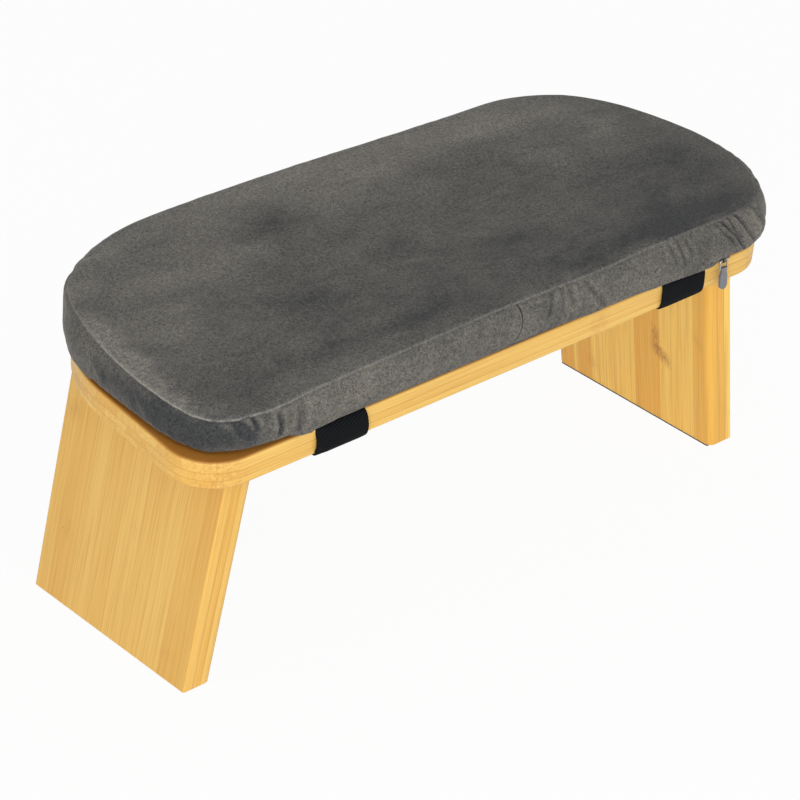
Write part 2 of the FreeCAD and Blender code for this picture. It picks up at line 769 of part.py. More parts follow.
def make_zip():
    left = place("zip_left")
    y = place("zip_y")
    z = place("zip_z")
    half_tape = size("zip_tape_thickness") / 2
    clear = place("slider_bore")
    coil = cylinder("zip_coil", on_seat(left, y, z, ALONG_X), "sizes.zip_coil_radius",
                    "places.zip_length")
    keep(coil, "zip_coil")

    # One tape stands behind the side band, the other lies on the base panel.
    upper = box("zip_tape_upper", on_seat(left, y - half_tape, z + clear),
                Length="places.zip_length", Width="sizes.zip_tape_thickness",
                Height="sizes.zip_tape_width")
    keep(upper, "zip_tape_upper")
    lower = box("zip_tape_lower", on_seat(left, y + clear, z - half_tape),
                Length="places.zip_length", Width="sizes.zip_tape_width",
                Height="sizes.zip_tape_thickness")
    keep(lower, "zip_tape_lower")

    stops = []
    reach = place("slider_half")
    for name, x in (("left", left), ("right", place("zip_right") - size("zip_stop_length"))):
        corner = on_seat(x, y - reach, z - reach)
        block = box("zip_stop_" + name, corner, Length="sizes.zip_stop_length",
                    Width="places.slider_half + sizes.zip_coil_radius / 2",
                    Height="places.slider_half + sizes.zip_coil_radius / 2")
        bore = cylinder("zip_stop_bore_" + name, on_seat(x - size("zip_stop_length"), y, z,
                                                         ALONG_X),
                        "sizes.zip_coil_radius + sizes.screw_clearance",
                        "3 * sizes.zip_stop_length")
        stops.append(cut("zip_stop_cut_" + name, block, bore))
    group = doc.addObject("Part::Feature", "zip_end_stops")
    group.Shape = Part.makeCompound([stop.Shape.copy() for stop in stops])
    keep(group, "zip_end_stops")


def make_slider():
    """The slider hooks round the coil from the front and below, past both tapes."""
    x = place("slider_x") - size("slider_length") / 2
    y = place("zip_y")
    z = place("zip_z")
    half = place("slider_half")
    block = box("slider_block", on_seat(x, y - half, z - half), Length="sizes.slider_length",
                Width="2 * places.slider_half", Height="2 * places.slider_half")
    lug = cylinder("slider_lug", on_seat(place("slider_x") - size("lug_width") / 2,
                                         place("lug_y"), place("lug_z"), ALONG_X),
                   "sizes.lug_radius", "sizes.lug_width")
    solid = fuse("slider_solid", [block, lug])
    bore = cylinder("slider_bore_cut", on_seat(x - half, y, z, ALONG_X), "places.slider_bore",
                    "sizes.slider_length + 2 * places.slider_half")
    eye = cylinder("slider_eye", on_seat(x, place("lug_y"), place("lug_z"), ALONG_X),
                   "sizes.lug_bore", "sizes.slider_length")
    slot = size("zip_tape_thickness") / 2 + size("zip_clearance")
    quarter = box("slider_quarter", on_seat(x - half, y - slot, z - slot),
                  Length="sizes.slider_length + 2 * places.slider_half",
                  Width="4 * places.slider_half", Height="4 * places.slider_half")
    slider = cut("slider", solid, fuse("slider_cuts", [bore, eye, quarter]))
    keep(slider, "zip_slider")


def pull_frame(drop=0.0):
    """The pull hangs plumb from the slider's lug: its frame is level, not tilted."""
    pivot = on_seat(place("slider_x"), place("lug_y"), place("lug_z")).Base
    return Placement(pivot - Vector(0, 0, drop), Rotation())


def make_pull_ring():
    """A wire link with round ends: its top bar runs through the lug."""
    radius = 2 * size("wire_radius")
    wide = size("ring_width") / 2 - size("wire_radius")
    tall = size("ring_height") - 2 * size("wire_radius")
    link = doc.addObject("Part::Feature", "pull_ring")
    path = rounded_loop(wide, tall, radius)
    profile = Part.Wire([Part.makeCircle(size("wire_radius"), Vector(0, 0, 0), Vector(1, 0, 0))])
    link.Shape = path.makePipeShell([profile], True, False)
    link.Placement = pull_frame()
    keep(link, "zip_pull_ring")


def rounded_loop(wide, tall, r):
    """A closed wire in the XZ plane, from the middle of its top bar downwards."""
    bend = r * (1 - 2 ** -0.5)
    right = wide - r
    corners = [
        Part.LineSegment(Vector(0, 0, 0), Vector(right, 0, 0)),
        Part.Arc(Vector(right, 0, 0), Vector(wide - bend, 0, -bend), Vector(wide, 0, -r)),
        Part.LineSegment(Vector(wide, 0, -r), Vector(wide, 0, r - tall)),
        Part.Arc(Vector(wide, 0, r - tall), Vector(wide - bend, 0, bend - tall),
                 Vector(right, 0, -tall)),
        Part.LineSegment(Vector(right, 0, -tall), Vector(-right, 0, -tall)),
        Part.Arc(Vector(-right, 0, -tall), Vector(bend - wide, 0, bend - tall),
                 Vector(-wide, 0, r - tall)),
        Part.LineSegment(Vector(-wide, 0, r - tall), Vector(-wide, 0, -r)),
        Part.Arc(Vector(-wide, 0, -r), Vector(bend - wide, 0, -bend), Vector(-right, 0, 0)),
        Part.LineSegment(Vector(-right, 0, 0), Vector(0, 0, 0)),
    ]
    return Part.Wire([piece.toShape() for piece in corners])


def make_pull_tab():
    """A teardrop tab under a crimped block that holds the ring's lower bar."""
    drop = size("ring_height") - 2 * size("wire_radius")
    block = box("tab_crimp", Placement(Vector(-size("crimp_width") / 2,
                                              -size("tab_thickness") * 0.6,
                                              -size("crimp_height") / 2), Rotation()),
                Length="sizes.crimp_width", Width="sizes.tab_thickness * 1.2",
                Height="sizes.crimp_height")
    body = doc.addObject("PartDesign::Body", "tab_body")
    neck = "sizes.tab_neck_width / 2"
    wide = "sizes.tab_width / 2"
    turn = "sizes.tab_length - sizes.tab_width / 2"
    flare = "sizes.tab_length / 3"
    blade = polygon_sketch(body, "XZ_Plane", "tab_blade", [
        ("-" + neck, "0"), ("-" + wide, "-(%s)" % flare), ("-" + wide, "-(%s)" % turn),
        (wide, "-(%s)" % turn), (wide, "-(%s)" % flare), (neck, "0")])
    pad(body, blade, "sizes.tab_thickness", midplane=True)
    end = new_sketch(body, "XZ_Plane", "tab_end")
    end.addGeometry(Part.Circle(Vector(0, -number(turn), 0), Vector(0, 0, 1), number(wide)),
                    False)
    hold_point(end, 0, 3, "0", "-(%s)" % turn)
    index = end.addConstraint(Sketcher.Constraint("Radius", 0, number(wide)))
    end.setExpression("Constraints[%d]" % index, wide)
    pad(body, end, "sizes.tab_thickness", midplane=True)
    solid = fuse("tab_solid", [block, body])
    span = size("crimp_width")
    bore = cylinder("tab_bore", Placement(Vector(-span, 0, 0), ALONG_X),
                    "sizes.wire_radius + sizes.screw_clearance", "2 * sizes.crimp_width")
    tab = cut("tab", solid, bore)
    tab.Placement = pull_frame(drop)
    keep(tab, "zip_pull_tab")


def check_model():
    doc.recompute()
    for item in doc.Objects:
        bad = [state for state in item.State if state in ("Invalid", "Error")]
        if bad:
            raise RuntimeError("%s is %s" % (item.Label, bad))
    for item in nodes:
        shape = item.Shape
        if shape.isNull() or not shape.isValid() or not shape.Solids:
            raise RuntimeError("%s has no valid solid" % item.Label)


def export_model():
    os.makedirs("parts", exist_ok=True)
    for item in nodes:
        item.Shape.exportStep("parts/%s.step" % item.Label)
        box_ = item.Shape.BoundBox
        print("%-32s solids %d  volume %9.1f  z %7.2f to %7.2f" % (
            item.Label, len(item.Shape.Solids), item.Shape.Volume, box_.ZMin, box_.ZMax))


make_seat_board()
for leg_name, leg_side in SIDES.items():
    make_leg(leg_name, leg_side)
make_hinges()
make_screws()
make_magnets()
make_straps()
make_cover()
make_foam()
make_zip()
make_slider()
make_pull_ring()
make_pull_tab()
check_model()
export_model()
print("pieces:", len(nodes))
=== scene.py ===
import math

import bmesh
import bpy
from mathutils import Matrix, Vector, geometry, kdtree, noise


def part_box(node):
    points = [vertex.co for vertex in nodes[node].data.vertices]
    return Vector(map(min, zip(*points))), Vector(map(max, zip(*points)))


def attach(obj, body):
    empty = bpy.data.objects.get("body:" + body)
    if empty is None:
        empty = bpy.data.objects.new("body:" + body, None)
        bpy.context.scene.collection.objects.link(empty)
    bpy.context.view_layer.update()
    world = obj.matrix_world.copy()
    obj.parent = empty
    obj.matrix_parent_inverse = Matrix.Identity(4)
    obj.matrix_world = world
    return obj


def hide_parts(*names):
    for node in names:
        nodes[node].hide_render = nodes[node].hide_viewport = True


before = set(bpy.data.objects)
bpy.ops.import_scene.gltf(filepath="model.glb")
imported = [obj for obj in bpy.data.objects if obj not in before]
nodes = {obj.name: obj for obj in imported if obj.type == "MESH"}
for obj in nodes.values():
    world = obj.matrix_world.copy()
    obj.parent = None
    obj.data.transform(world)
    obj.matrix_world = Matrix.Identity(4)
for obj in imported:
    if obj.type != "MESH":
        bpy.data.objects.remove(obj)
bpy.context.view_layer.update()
scene = bpy.context.scene
print("frame loaded:", len(nodes), "nodes")

mm = 0.001
seatTilt = math.radians(7.0)
underside = 160.3 * mm  # height of the middle of the board's underside

# the seat's own frame: x along the board, y to its high back edge, z up through it
boardLow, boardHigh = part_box("seat_board")
boardThick = 19 * mm
seatMiddle = (boardLow + boardHigh) / 2
seatOrigin = Vector((seatMiddle.x, 0, underside))
seatOrigin.y = seatMiddle.y + math.sin(seatTilt) * boardThick / 2
seatFrame = Matrix.Translation(seatOrigin) @ Matrix.Rotation(seatTilt, 4, "X")


def onSeat(x, y, z):
    return seatFrame @ Vector((x, y, z))


def finishPiece(piece, body, slot, *replaced):
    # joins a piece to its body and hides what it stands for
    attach(piece, body)
    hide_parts(*replaced)


def newPiece(name, bm, material, smooth=True):
    # turns a bmesh into a piece with its place in its mesh
    mesh = bpy.data.meshes.new(name)
    bm.to_mesh(mesh)
    bm.free()
    mesh.materials.append(material)
    for face in mesh.polygons:
        face.use_smooth = smooth
    piece = bpy.data.objects.new(name, mesh)
    scene.collection.objects.link(piece)
    return piece


def applyModifiers(piece):
    graph = bpy.context.evaluated_depsgraph_get()
    mesh = bpy.data.meshes.new_from_object(piece.evaluated_get(graph))
    piece.modifiers.clear()
    piece.data = mesh


def smoothSteps(x):
    x = min(max(x, 0.0), 1.0)
    return x * x * (3 - 2 * x)


def blendTable(table, x):
    # smooth in-between value of a table of (x, value) rows
    if x <= table[0][0]:
        return table[0][1]
    for (x0, a), (x1, b) in zip(table, table[1:]):
        if x <= x1:
            return a + (b - a) * smoothSteps((x - x0) / (x1 - x0))
    return table[-1][1]


class Sock:
    # wraps a socket, so that shader maths reads as plain expressions
    def __init__(self, shader, socket):
        self.shader = shader
        self.socket = socket

    def math(self, operation, *others):
        return self.shader.add("ShaderNodeMath", {"operation": operation}, self, *others)

    def __add__(self, other):
        return self.math("ADD", other)

    def __radd__(self, other):
        return self.math("ADD", other)

    def __sub__(self, other):
        return self.math("SUBTRACT", other)

    def __rsub__(self, other):
        return self.shader.add("ShaderNodeMath", {"operation": "SUBTRACT"}, other, self)

    def __mul__(self, other):
        return self.math("MULTIPLY", other)

    def __rmul__(self, other):
        return self.math("MULTIPLY", other)

    def __truediv__(self, other):
        return self.math("DIVIDE", other)


class Shader:
    # one material and the nodes that are added to it
    def __init__(self, name, **constants):
        self.material = bpy.data.materials.new(name)
        self.material.use_nodes = True
        self.tree = self.material.node_tree
        self.surface = self.tree.nodes["Principled BSDF"]
        for key, value in constants.items():
            self.surface.inputs[key.replace("_", " ")].default_value = value

    def add(self, kind, settings, *inputs, out=0, **named):
        # one node: its settings first, then its inputs by place or by name
        node = self.tree.nodes.new(kind)
        for key, value in settings.items():
            if key == "stops":
                self.setStops(node, value)
            else:
                setattr(node, key, value)
        for place, value in enumerate(inputs):
            self.feed(node.inputs[place], value)
        for key, value in named.items():
            self.feed(node.inputs[key.replace("_", " ")], value)
        return Sock(self, node.outputs[out])

    def setStops(self, node, stops):
        ramp = node.color_ramp.elements
        while len(ramp) < len(stops):
            ramp.new(0.5)
        for element, (position, value) in zip(ramp, stops):
            element.position = position
            element.color = (value, value, value, 1)

    def feed(self, target, value):
        if isinstance(value, Sock):
            self.tree.links.new(value.socket, target)
        else:
            target.default_value = value

    def to(self, name, value):
        self.feed(self.surface.inputs[name], value)

    def place(self, matrix=Matrix()):
        # object coordinates in the directions of the seat, of a leg or of the room
        coordinates = self.add("ShaderNodeTexCoord", {}, out="Object")
        return self.add("ShaderNodeMapping", {"vector_type": "TEXTURE"}, coordinates,
                        Location=matrix.translation, Rotation=matrix.to_euler("XYZ"))

    def split(self, vector):
        node = self.tree.nodes.new("ShaderNodeSeparateXYZ")
        self.feed(node.inputs[0], vector)
        return [Sock(self, output) for output in node.outputs]

    def join(self, x, y, z):
        return self.add("ShaderNodeCombineXYZ", {}, x, y, z)

    def noise(self, vector, scale, detail=2.0, roughness=0.5, distortion=0.0):
        return self.add("ShaderNodeTexNoise", {}, Vector=vector, Scale=scale, Detail=detail,
                        Roughness=roughness, Distortion=distortion)

    def ramp(self, value, *stops):
        return self.add("ShaderNodeValToRGB", {"stops": stops}, value)

    def waves(self, value, length):
        # even ridges, from 0 to 1
        return (value * (2 * math.pi / length)).math("SINE") * 0.5 + 0.5

    def mix(self, factor, a, b, blend="MIX"):
        node = self.tree.nodes.new("ShaderNodeMix")
        node.data_type = "RGBA"
        node.blend_type = blend
        self.feed(node.inputs["Factor"], factor)
        for place, value in ((6, a), (7, b)):
            self.feed(node.inputs[place], value if isinstance(value, Sock) else (*value, 1))
        return Sock(self, node.outputs[2])

    def bump(self, height, distance, strength, **normal):
        return self.add("ShaderNodeBump", {}, Height=height, Distance=distance,
                        Strength=strength, **normal)


# bamboo: strips side by side in three plies, fine fibres, the brown nodes of the stems, and painted
# shade on the board under the cushion
bamboo = {
    "light": (0.870, 0.585, 0.165),
    "dark": (0.700, 0.350, 0.055),
    "nodeBrown": (0.42, 0.150, 0.026),
    "fibreBrown": (0.56, 0.265, 0.050),
    # painted shade: the brown of the shade under the cushion, on the board's top face
    "paintedShadeBrown": (0.36, 0.120, 0.012),
    "fibreWidth": 1.1 * mm,
    "plyShares": (0.31, 0.59),  # where the plies meet, as shares of the thickness
    "plyWander": 1.8 * mm,
    "plyLine": 0.5 * mm,  # half width of the line between two plies
    "glueLine": (-0.0028, 0.0008, 0.0044),  # start, peak and end, as shares of the panel's width
    "fray": 1.7,  # how far a node runs out along the fibres
    "nodeMost": 0.8,
    "paintedShadeDepth": ((0.935, 0.0), (0.992, 0.84)),  # painted shade under the cushion: share of the thickness, strength of the brown
    # how much each adds to the tone, and how strongly each mark shows
    "stripTone": 0.80, "middleTone": 0.55, "wideTone": 0.45, "toneDrop": 0.44,
    "hairs": 0.46, "joints": 0.26, "plyLines": 0.50, "nodes": 0.62,
    "bumpHeight": 0.12 * mm,
}
# each panel: lowest place across its grain, its strips (width and tone), and its nodes
# (place along and across the grain, slant, half length, half width, strength)
panels = {
    "board": {
        "start": -100, "plyShift": 31.0, "seenPly": 2, "seed": 3.0,
        "paintedShade": True, "paintedLightTint": (1, 1, 1),
        "strips": ((21, 0.35), (20, 0.62), (22, 0.28), (19, 0.5), (21, 0.75), (18, 0.4), (22, 0.3),
                   (19, 0.66), (20, 0.45), (18, 0.55)),
        # the node at -214, -97 is painted shade: it darkens the board's front-left corner, where
        # the cushion's shadow falls
        "nodes": ((75, -100, 0, 9, 6, 0.30), (-214, -97, 0, 20, 18, 0.50),
                  (-118, 30, 0.4, 4, 11, 0.55), (60, -35, -0.3, 4, 10, 0.5),
                  (150, 60, 0.3, 4, 10, 0.5), (-30, 80, 0.2, 4, 9, 0.5)),
    },
    "left": {
        "start": -67.5, "plyShift": 23.0, "seenPly": 0, "seed": 8.0,
        "paintedShade": False, "paintedLightTint": (1, 1, 1),
        "strips": ((14, 0.42), (20, 0.66), (18, 0.36), (19, 0.50), (20, 0.32), (17, 0.48),
                   (22, 0.36), (27, 0.72)),
        "nodes": ((-37, -57, 0.3, 9, 9, 0.34), (-116, -44, 0.1, 11, 5, 0.26),
                  (-118, -49.5, 0, 1.1, 0.7, 0.9), (-78, 20, 0.2, 6, 9, 0.10),
                  (-138, 66, 0.2, 6, 9, 0.14)),
    },
    "right": {
        "start": -89.5, "plyShift": 27.0, "seenPly": 2, "seed": 17.0,
        # painted light: this tint lightens the whole right leg, standing in for light on its inner
        # face, which the seat shades
        "paintedShade": False, "paintedLightTint": (1.14, 1.12, 0.95),
        "strips": ((15, 0.72), (22, 0.12), (12, 0.0), (25, 0.85), (22, 0.10), (24, 0.0),
                   (15, 0.80), (5, 0.0), (17, 0.85)),
        "nodes": ((-93, -42, 0.40, 7.5, 12, 1.35), (-80, -37, 0.3, 11.0, 5.5, 1.0),
                  (-146, 31, 0.2, 7, 8, 0.32), (-60, -78, 0.5, 8, 6, 0.30)),
    },
}


def makeBamboo(name, grainFrame, thickness, panel):
    # the grain frame has x along the fibres, y across the strips and z through the plies
    s = Shader(name, Coat_Roughness=0.35, Coat_Weight=0.06, Specular_IOR_Level=0.32)
    grain, across, depth = s.split(s.place(grainFrame))
    fibre, seed = bamboo["fibreWidth"], panel["seed"]

    low, high = (share * thickness for share in bamboo["plyShares"])
    wander = s.noise(s.join(grain * 16.0, across * 16.0, seed), 1.0) - 0.5
    wavy = depth + wander * bamboo["plyWander"]
    ply = wavy.math("GREATER_THAN", low) + wavy.math("GREATER_THAN", high)
    full = sum(width for width, tone in panel["strips"]) * mm
    place = ((across - panel["start"] * mm + (ply - panel["seenPly"]) * panel["plyShift"] * mm)
             / full).math("FRACT")
    begin, peak, end = bamboo["glueLine"]
    stops, edges, reached = [], [], 0.0
    for width, tone in panel["strips"]:
        stops.append((reached, tone))
        edges += [(max(reached + begin, 0.0), 0.0), (reached + peak, 1.0), (reached + end, 0.0)]
        reached += width * mm / full
    tone = s.ramp(place, *stops)
    tone.socket.node.color_ramp.interpolation = "CONSTANT"
    joint = s.ramp(place, *edges)

    # long thin noise along the grain, which ends as specks on an end face
    fine = s.noise(s.join(grain * 11.0, across / fibre, depth / fibre), 1.0, 3.0, 0.62, 0.2)
    middle = s.noise(s.join(grain * 3.5, across * 210.0, depth * 210.0 + seed), 1.0)
    wide = s.noise(s.join(grain * 3.0 + seed, across * 38.0, depth * 60.0), 1.0)
    hairs = s.ramp(fine, (0.48, 0.0), (0.66, 1.0))

    # the nodes are brown bands, frayed along the fibres
    fray = s.noise(s.join(grain * 60.0, across * 800.0, depth * 300.0), 1.0, 4.0, 0.72) - 0.5
    dashes = s.ramp(s.noise(s.join(grain * 240.0, across * 900.0, depth * 300.0), 1.0, 3.0, 0.7),
                    (0.40, 0.35), (0.62, 1.35))
    node = 0.0
    for alongNode, acrossNode, slant, halfLength, halfWidth, strength in panel["nodes"]:
        aside = across - acrossNode * mm
        ahead = (grain - alongNode * mm - aside * slant) / (halfLength * mm) + fray * bamboo["fray"]
        lengthwise = s.ramp(ahead.math("ABSOLUTE"), (0.0, 1.0), (0.6, 0.55), (1.0, 0.0))
        sideways = s.ramp((aside / (halfWidth * mm)).math("ABSOLUTE"), (0.3, 1.0), (1.0, 0.0))
        node = node + lengthwise * sideways * strength
    node = (node * dashes * bamboo["nodes"]).math("MINIMUM", bamboo["nodeMost"])

    plyLine = 0.0
    for meeting in (low, high):
        off = (wavy - meeting).math("ABSOLUTE") / bamboo["plyLine"]
        plyLine = plyLine + s.ramp(off, (0.35, 1.0), (1.0, 0.0))

    shade = tone * bamboo["stripTone"] + middle * bamboo["middleTone"] + wide * bamboo["wideTone"]
    color = s.mix(shade - bamboo["toneDrop"], bamboo["light"], bamboo["dark"])
    # painted light: a panel's tint, which lightens the shaded right leg
    color = s.mix(1.0, color, panel["paintedLightTint"], "MULTIPLY")
    for mark, strength in ((hairs, bamboo["hairs"]), (joint, bamboo["joints"]),
                           (plyLine, bamboo["plyLines"])):
        color = s.mix(mark * strength, color, bamboo["fibreBrown"])
    color = s.mix(node, color, bamboo["nodeBrown"])
    if panel["paintedShade"]:
        # painted shade: the board's top face and the top of its rounded edge are darkened to brown,
        # as the shade under the cushion
        paintedShade = s.ramp(depth / thickness, *bamboo["paintedShadeDepth"])
        color = s.mix(paintedShade, color, bamboo["paintedShadeBrown"])
    s.to("Base Color", color)
    s.to("Roughness", 0.40 + fine * 0.16)
    height = fine * 0.5 - hairs * 0.35 - plyLine * 0.6 - joint * 0.3
    s.to("Normal", s.bump(height, bamboo["bumpHeight"], 0.5))
    return s.material


legs = {
    "splay": math.radians(10.6),
    "topReach": 202.4 * mm,  # from the seat's middle to the outer face, at the board's underside
    "thickness": 20 * mm,
}


def legGrain(sign):
    # x up the leg, y across it, z from its outer face to its inner face
    lean = Matrix.Rotation(seatTilt, 4, "X") @ Matrix.Rotation(-sign * legs["splay"], 4, "Y")
    turn = Matrix(((0, 0, -sign), (0, sign, 0), (1, 0, 0))).to_4x4()
    return Matrix.Translation(onSeat(sign * legs["topReach"], 0, 0)) @ lean @ turn


def dress(node, material):
    nodes[node].data.materials.clear()
    nodes[node].data.materials.append(material)


dress("seat_board", makeBamboo("boardBamboo", seatFrame, boardThick, panels["board"]))
for sign, side in ((-1, "left"), (1, "right")):
    dress(f"{side}_leg_panel",
          makeBamboo(f"{side}LegBamboo", legGrain(sign), legs["thickness"], panels[side]))
print("bamboo done")


def makeFootFoam():
    # closed-cell foam sheet glued under the legs
    s = Shader("footFoam")
    where = s.place()
    cells = s.add("ShaderNodeTexVoronoi", {}, Vector=where, Scale=1400.0)
    dust = s.noise(where, 90.0, 3.0, 0.6)
    s.to("Base Color", s.mix(dust, (0.040, 0.044, 0.046), (0.085, 0.086, 0.084)))
    s.to("Roughness", 0.78 + dust * 0.15)
    s.to("Normal", s.bump(cells, 0.15 * mm, 0.7))
    return s.material


def makeMetal(name, bright, dull, smoothest, spread, scale, metallic=1.0):
    # plated or cast metal: cloudy tarnish with fine rubbing over it
    s = Shader(name, Metallic=metallic)
    where = s.place()
    x, y, z = s.split(where)
    cloud = s.noise(where, scale, 3.0, 0.6)
    rub = s.noise(s.join(x * scale, y * scale * 6.0, z * scale), 1.0, 3.0, 0.65)
    s.to("Base Color", s.mix(cloud * 0.7 + rub * 0.3, bright, dull))
    s.to("Roughness", smoothest + cloud * spread + rub * spread * 0.5)
    s.to("Normal", s.bump(rub * 0.7 + cloud * 0.3, 0.03 * mm, 0.4))
    return s.material


def makeNylon(name, dark, light, spacing):
    # moulded coil or woven tape of a zip
    s = Shader(name, Roughness=0.5, Specular_IOR_Level=0.4)
    where = s.place()
    teeth = s.waves(s.split(where)[0], spacing)
    lint = s.noise(where, 1600.0, 2.0, 0.6)
    s.to("Base Color", s.mix(teeth * 0.6 + lint * 0.4, dark, light))
    s.to("Roughness", 0.45 + lint * 0.3)
    s.to("Normal", s.bump(teeth * 0.8 + lint * 0.2, 0.25 * mm, 0.8))
    return s.material


# bright and dull colour, smoothest roughness and its spread, and the size of the tarnish
metals = {
    "zincPlate": ((0.66, 0.64, 0.59), (0.46, 0.45, 0.43), 0.20, 0.20, 160.0),
    "screwZinc": ((0.70, 0.67, 0.60), (0.48, 0.46, 0.42), 0.16, 0.18, 420.0),
    "magnetNickel": ((0.74, 0.72, 0.68), (0.60, 0.59, 0.57), 0.10, 0.14, 240.0),
    "zipGunmetal": ((0.20, 0.20, 0.20), (0.07, 0.07, 0.075), 0.22, 0.24, 700.0),
    "pullWire": ((0.58, 0.56, 0.50), (0.30, 0.28, 0.25), 0.16, 0.20, 900.0),
    "pullGrey": ((0.235, 0.240, 0.260), (0.150, 0.155, 0.172), 0.34, 0.18, 420.0, 0.25),
}
# dark and light colour, and the spacing of the teeth or yarns
nylons = {
    "zipCoil": ((0.030, 0.030, 0.031), (0.085, 0.084, 0.082), 1.2 * mm),
    "zipTape": ((0.045, 0.044, 0.043), (0.080, 0.078, 0.075), 0.7 * mm),
}
finishes = {"footFoam": makeFootFoam()}
finishes |= {name: makeMetal(name, *look) for name, look in metals.items()}
finishes |= {name: makeNylon(name, *look) for name, look in nylons.items()}
wearing = {
    "footFoam": ["left_foot_pad", "right_foot_pad"],
    "zincPlate": [f"{side}_{end}_hinge_{part}" for side in ("left", "right")
                  for end in ("front", "rear") for part in ("seat_leaf", "leg_leaf", "pin")],
    "screwZinc": [f"{side}_{part}_leaf_screws" for side in ("left", "right")
                  for part in ("seat", "leg")],
    "magnetNickel": [f"{side}_{part}_magnet" for side in ("left", "right")
                     for part in ("seat", "leg")],
    "zipCoil": ["zip_coil"],
    "zipTape": ["zip_tape_upper", "zip_tape_lower"],
    "zipGunmetal": ["zip_end_stops", "zip_slider"],
    "pullWire": ["zip_pull_ring"],
    "pullGrey": ["zip_pull_tab"],
}
for finish, names in wearing.items():
    for name in names:
        dress(name, finishes[finish])
print("metals, foam and zip done")


# the cushion in its velvet cover
cushion = {
    "spine": (-124, 138, 5),  # the middle line that the top and the base close in on: x, x and y
    "stations": 520,
    "hemHeight": 21.3 * mm,
    "seamHeight": 44.3 * mm,
    "baseHeight": 20.6 * mm,
    "band": 25 * mm,  # its height as cut, on the sewing map
    "leanFrom": 0.4,  # share of the band's height from which it leans to the seam
    "crown": 1.6 * mm,
    "crownReach": 14 * mm,  # how far in from the seam the crown rises
    "bowReach": 85 * mm,  # how far in the seam's bow is felt
    "liftReach": 30 * mm,  # how far under the hem's lift is felt
    "zipPocket": (-164, 191, 5),  # first and last place of the turn round the zip, and its ease
    "bandShares": (0, 0.06, 0.16, 0.27, 0.39, 0.51, 0.63, 0.75, 0.86, 0.94, 1.0),
    "topShares": (0.012, 0.03, 0.055, 0.09, 0.14, 0.21, 0.32, 0.46),
    "baseShares": (0.18, 0.46),
    "gridMargin": 24,  # edges of the innermost ring that the middle's grid leaves to its ends
    "middleReach": 90 * mm,  # the sewing map's value for the middle of the top and the base
}
# its outline at the hem and at the upper seam, in mm, from the middle of the left end by the front
hemPoints = (
    (-228, 8), (-227.6, -15), (-226.6, -35), (-225.2, -52), (-222.4, -67), (-217.8, -79),
    (-211, -88), (-202, -94.5), (-190.5, -98.6), (-177, -100.4), (-160, -101), (-60, -101),
    (60, -101), (140, -101), (180, -101), (195, -100.6), (207, -98.8), (218, -94.4), (228, -87),
    (236, -76.6), (241.2, -64), (243.8, -48), (245, -28), (244, -8), (240.8, 12), (235.6, 31),
    (228.5, 49), (219.3, 65.5), (207.6, 80), (193.5, 91.5), (177, 99), (157, 102.8), (125, 104.8),
    (60, 107), (0, 108.6), (-60, 109.2), (-110, 108.6), (-134, 107), (-151, 103.8), (-167, 98.2),
    (-184, 88.8), (-198.5, 76.8), (-209.9, 63.2), (-217.8, 50), (-223.7, 37), (-227, 23),
)
seamPoints = (
    (-223.6, 8), (-225.4, -12), (-225.9, -31), (-225, -50), (-223.2, -66), (-219.6, -79),
    (-213.3, -88.6), (-204.6, -94), (-192, -96.3), (-176, -96.6), (-150, -96.4), (-60, -96.35),
    (40, -96.35), (110, -95.8), (150, -95.2), (175, -94.8), (190, -94), (203, -91.8),
    (214, -88.2), (223.8, -83), (231.5, -75.6), (238.8, -66), (244.4, -54), (247.8, -41),
    (249.2, -25), (248.4, -8), (245.6, 8), (241.6, 24), (236.4, 39.6), (229.8, 54.6),
    (221.4, 68.4), (211, 81.2), (197.2, 92), (180.4, 99.7), (162, 104.2), (130, 105.4),
    (63, 107.8), (0, 110.4), (-50, 111.5), (-95, 111.4), (-127.5, 110), (-144, 107.2),
    (-160, 102.4), (-176, 95.2), (-191, 86), (-203.5, 74.5), (-211.4, 60), (-216.4, 45),
    (-220.4, 27),
)
# the band's side view: share of its height, and how far it stands out in mm
bandBulge = ((0, 1.7), (0.08, 2.2), (0.25, 2.6), (0.55, 2.6), (0.78, 2.2), (0.93, 0.8), (1, 0))
# from the hem's edge under to the base, plain or round the zip: how far out and how high in mm
plainTurn = ((0.8, 20.9), (-0.4, 20.6), (-1.6, 20.6), (-2.9, 20.6), (-4.2, 20.6), (-5.6, 20.6))
zipTurn = ((1.4, 22.6), (1.2, 24.5), (-0.2, 25.5), (-1.6, 24.4), (-2.3, 22.2), (-3.2, 20.5))
# how far the hem is lifted or stands out, and the seam bows up, by place along the front, in mm
hemLift = ((-360, 0.5), (-335, 2.5), (-318, 2.2), (-300, 1.2), (-270, 1.4), (-247, 1.0),
           (-231, 0.8), (-218, 0.3), (-209, 1.8), (-200, 2.5), (-188, 3.2), (-172, 3.2),
           (-159, 1.0), (-154, 0.9), (-151, 1.6), (-142, 1.6), (-130, 0.6), (-105, 0.9),
           (-16, 0.9), (-3, 1.7), (12, 1.5), (29, 1.4), (51, 0.3), (64, -0.3), (80, 0.0),
           (164, 0.0), (172, 1.7), (183, 1.7), (190, 0.4), (200, 0.0))
hemOut = ((-300, 0.0), (-172, 0.0), (-162, 1.3), (-157, 2.1), (-142, 1.9), (-132, 0.2), (70, 0.0),
          (95, 0.3), (122, 1.8), (157, 3.6), (167, 3.4), (174, 2.3), (182, 1.6), (189, 0.6),
          (206, 0.0))
seamBow = ((-225, 0.0), (-196, -0.4), (-187, -1.2), (-178, -2.6), (-166, -2.0), (-140, -0.2),
           (-100, 1.0), (-4, 2.9), (41, 2.2), (75, 1.3), (115, 2.7), (157, 2.5), (205, 0.9),
           (260, 0.0))
# how much the band's extra cloth gathers, by place
bandGather = ((-300, 0.25), (-225, 0.7), (-150, 0.9), (-125, 0.0), (8, 0.1), (25, 0.8), (80, 0.7),
              (110, 0.5), (130, 0.9), (240, 1.0), (300, 0.4), (430, 0.12), (900, 0.12))
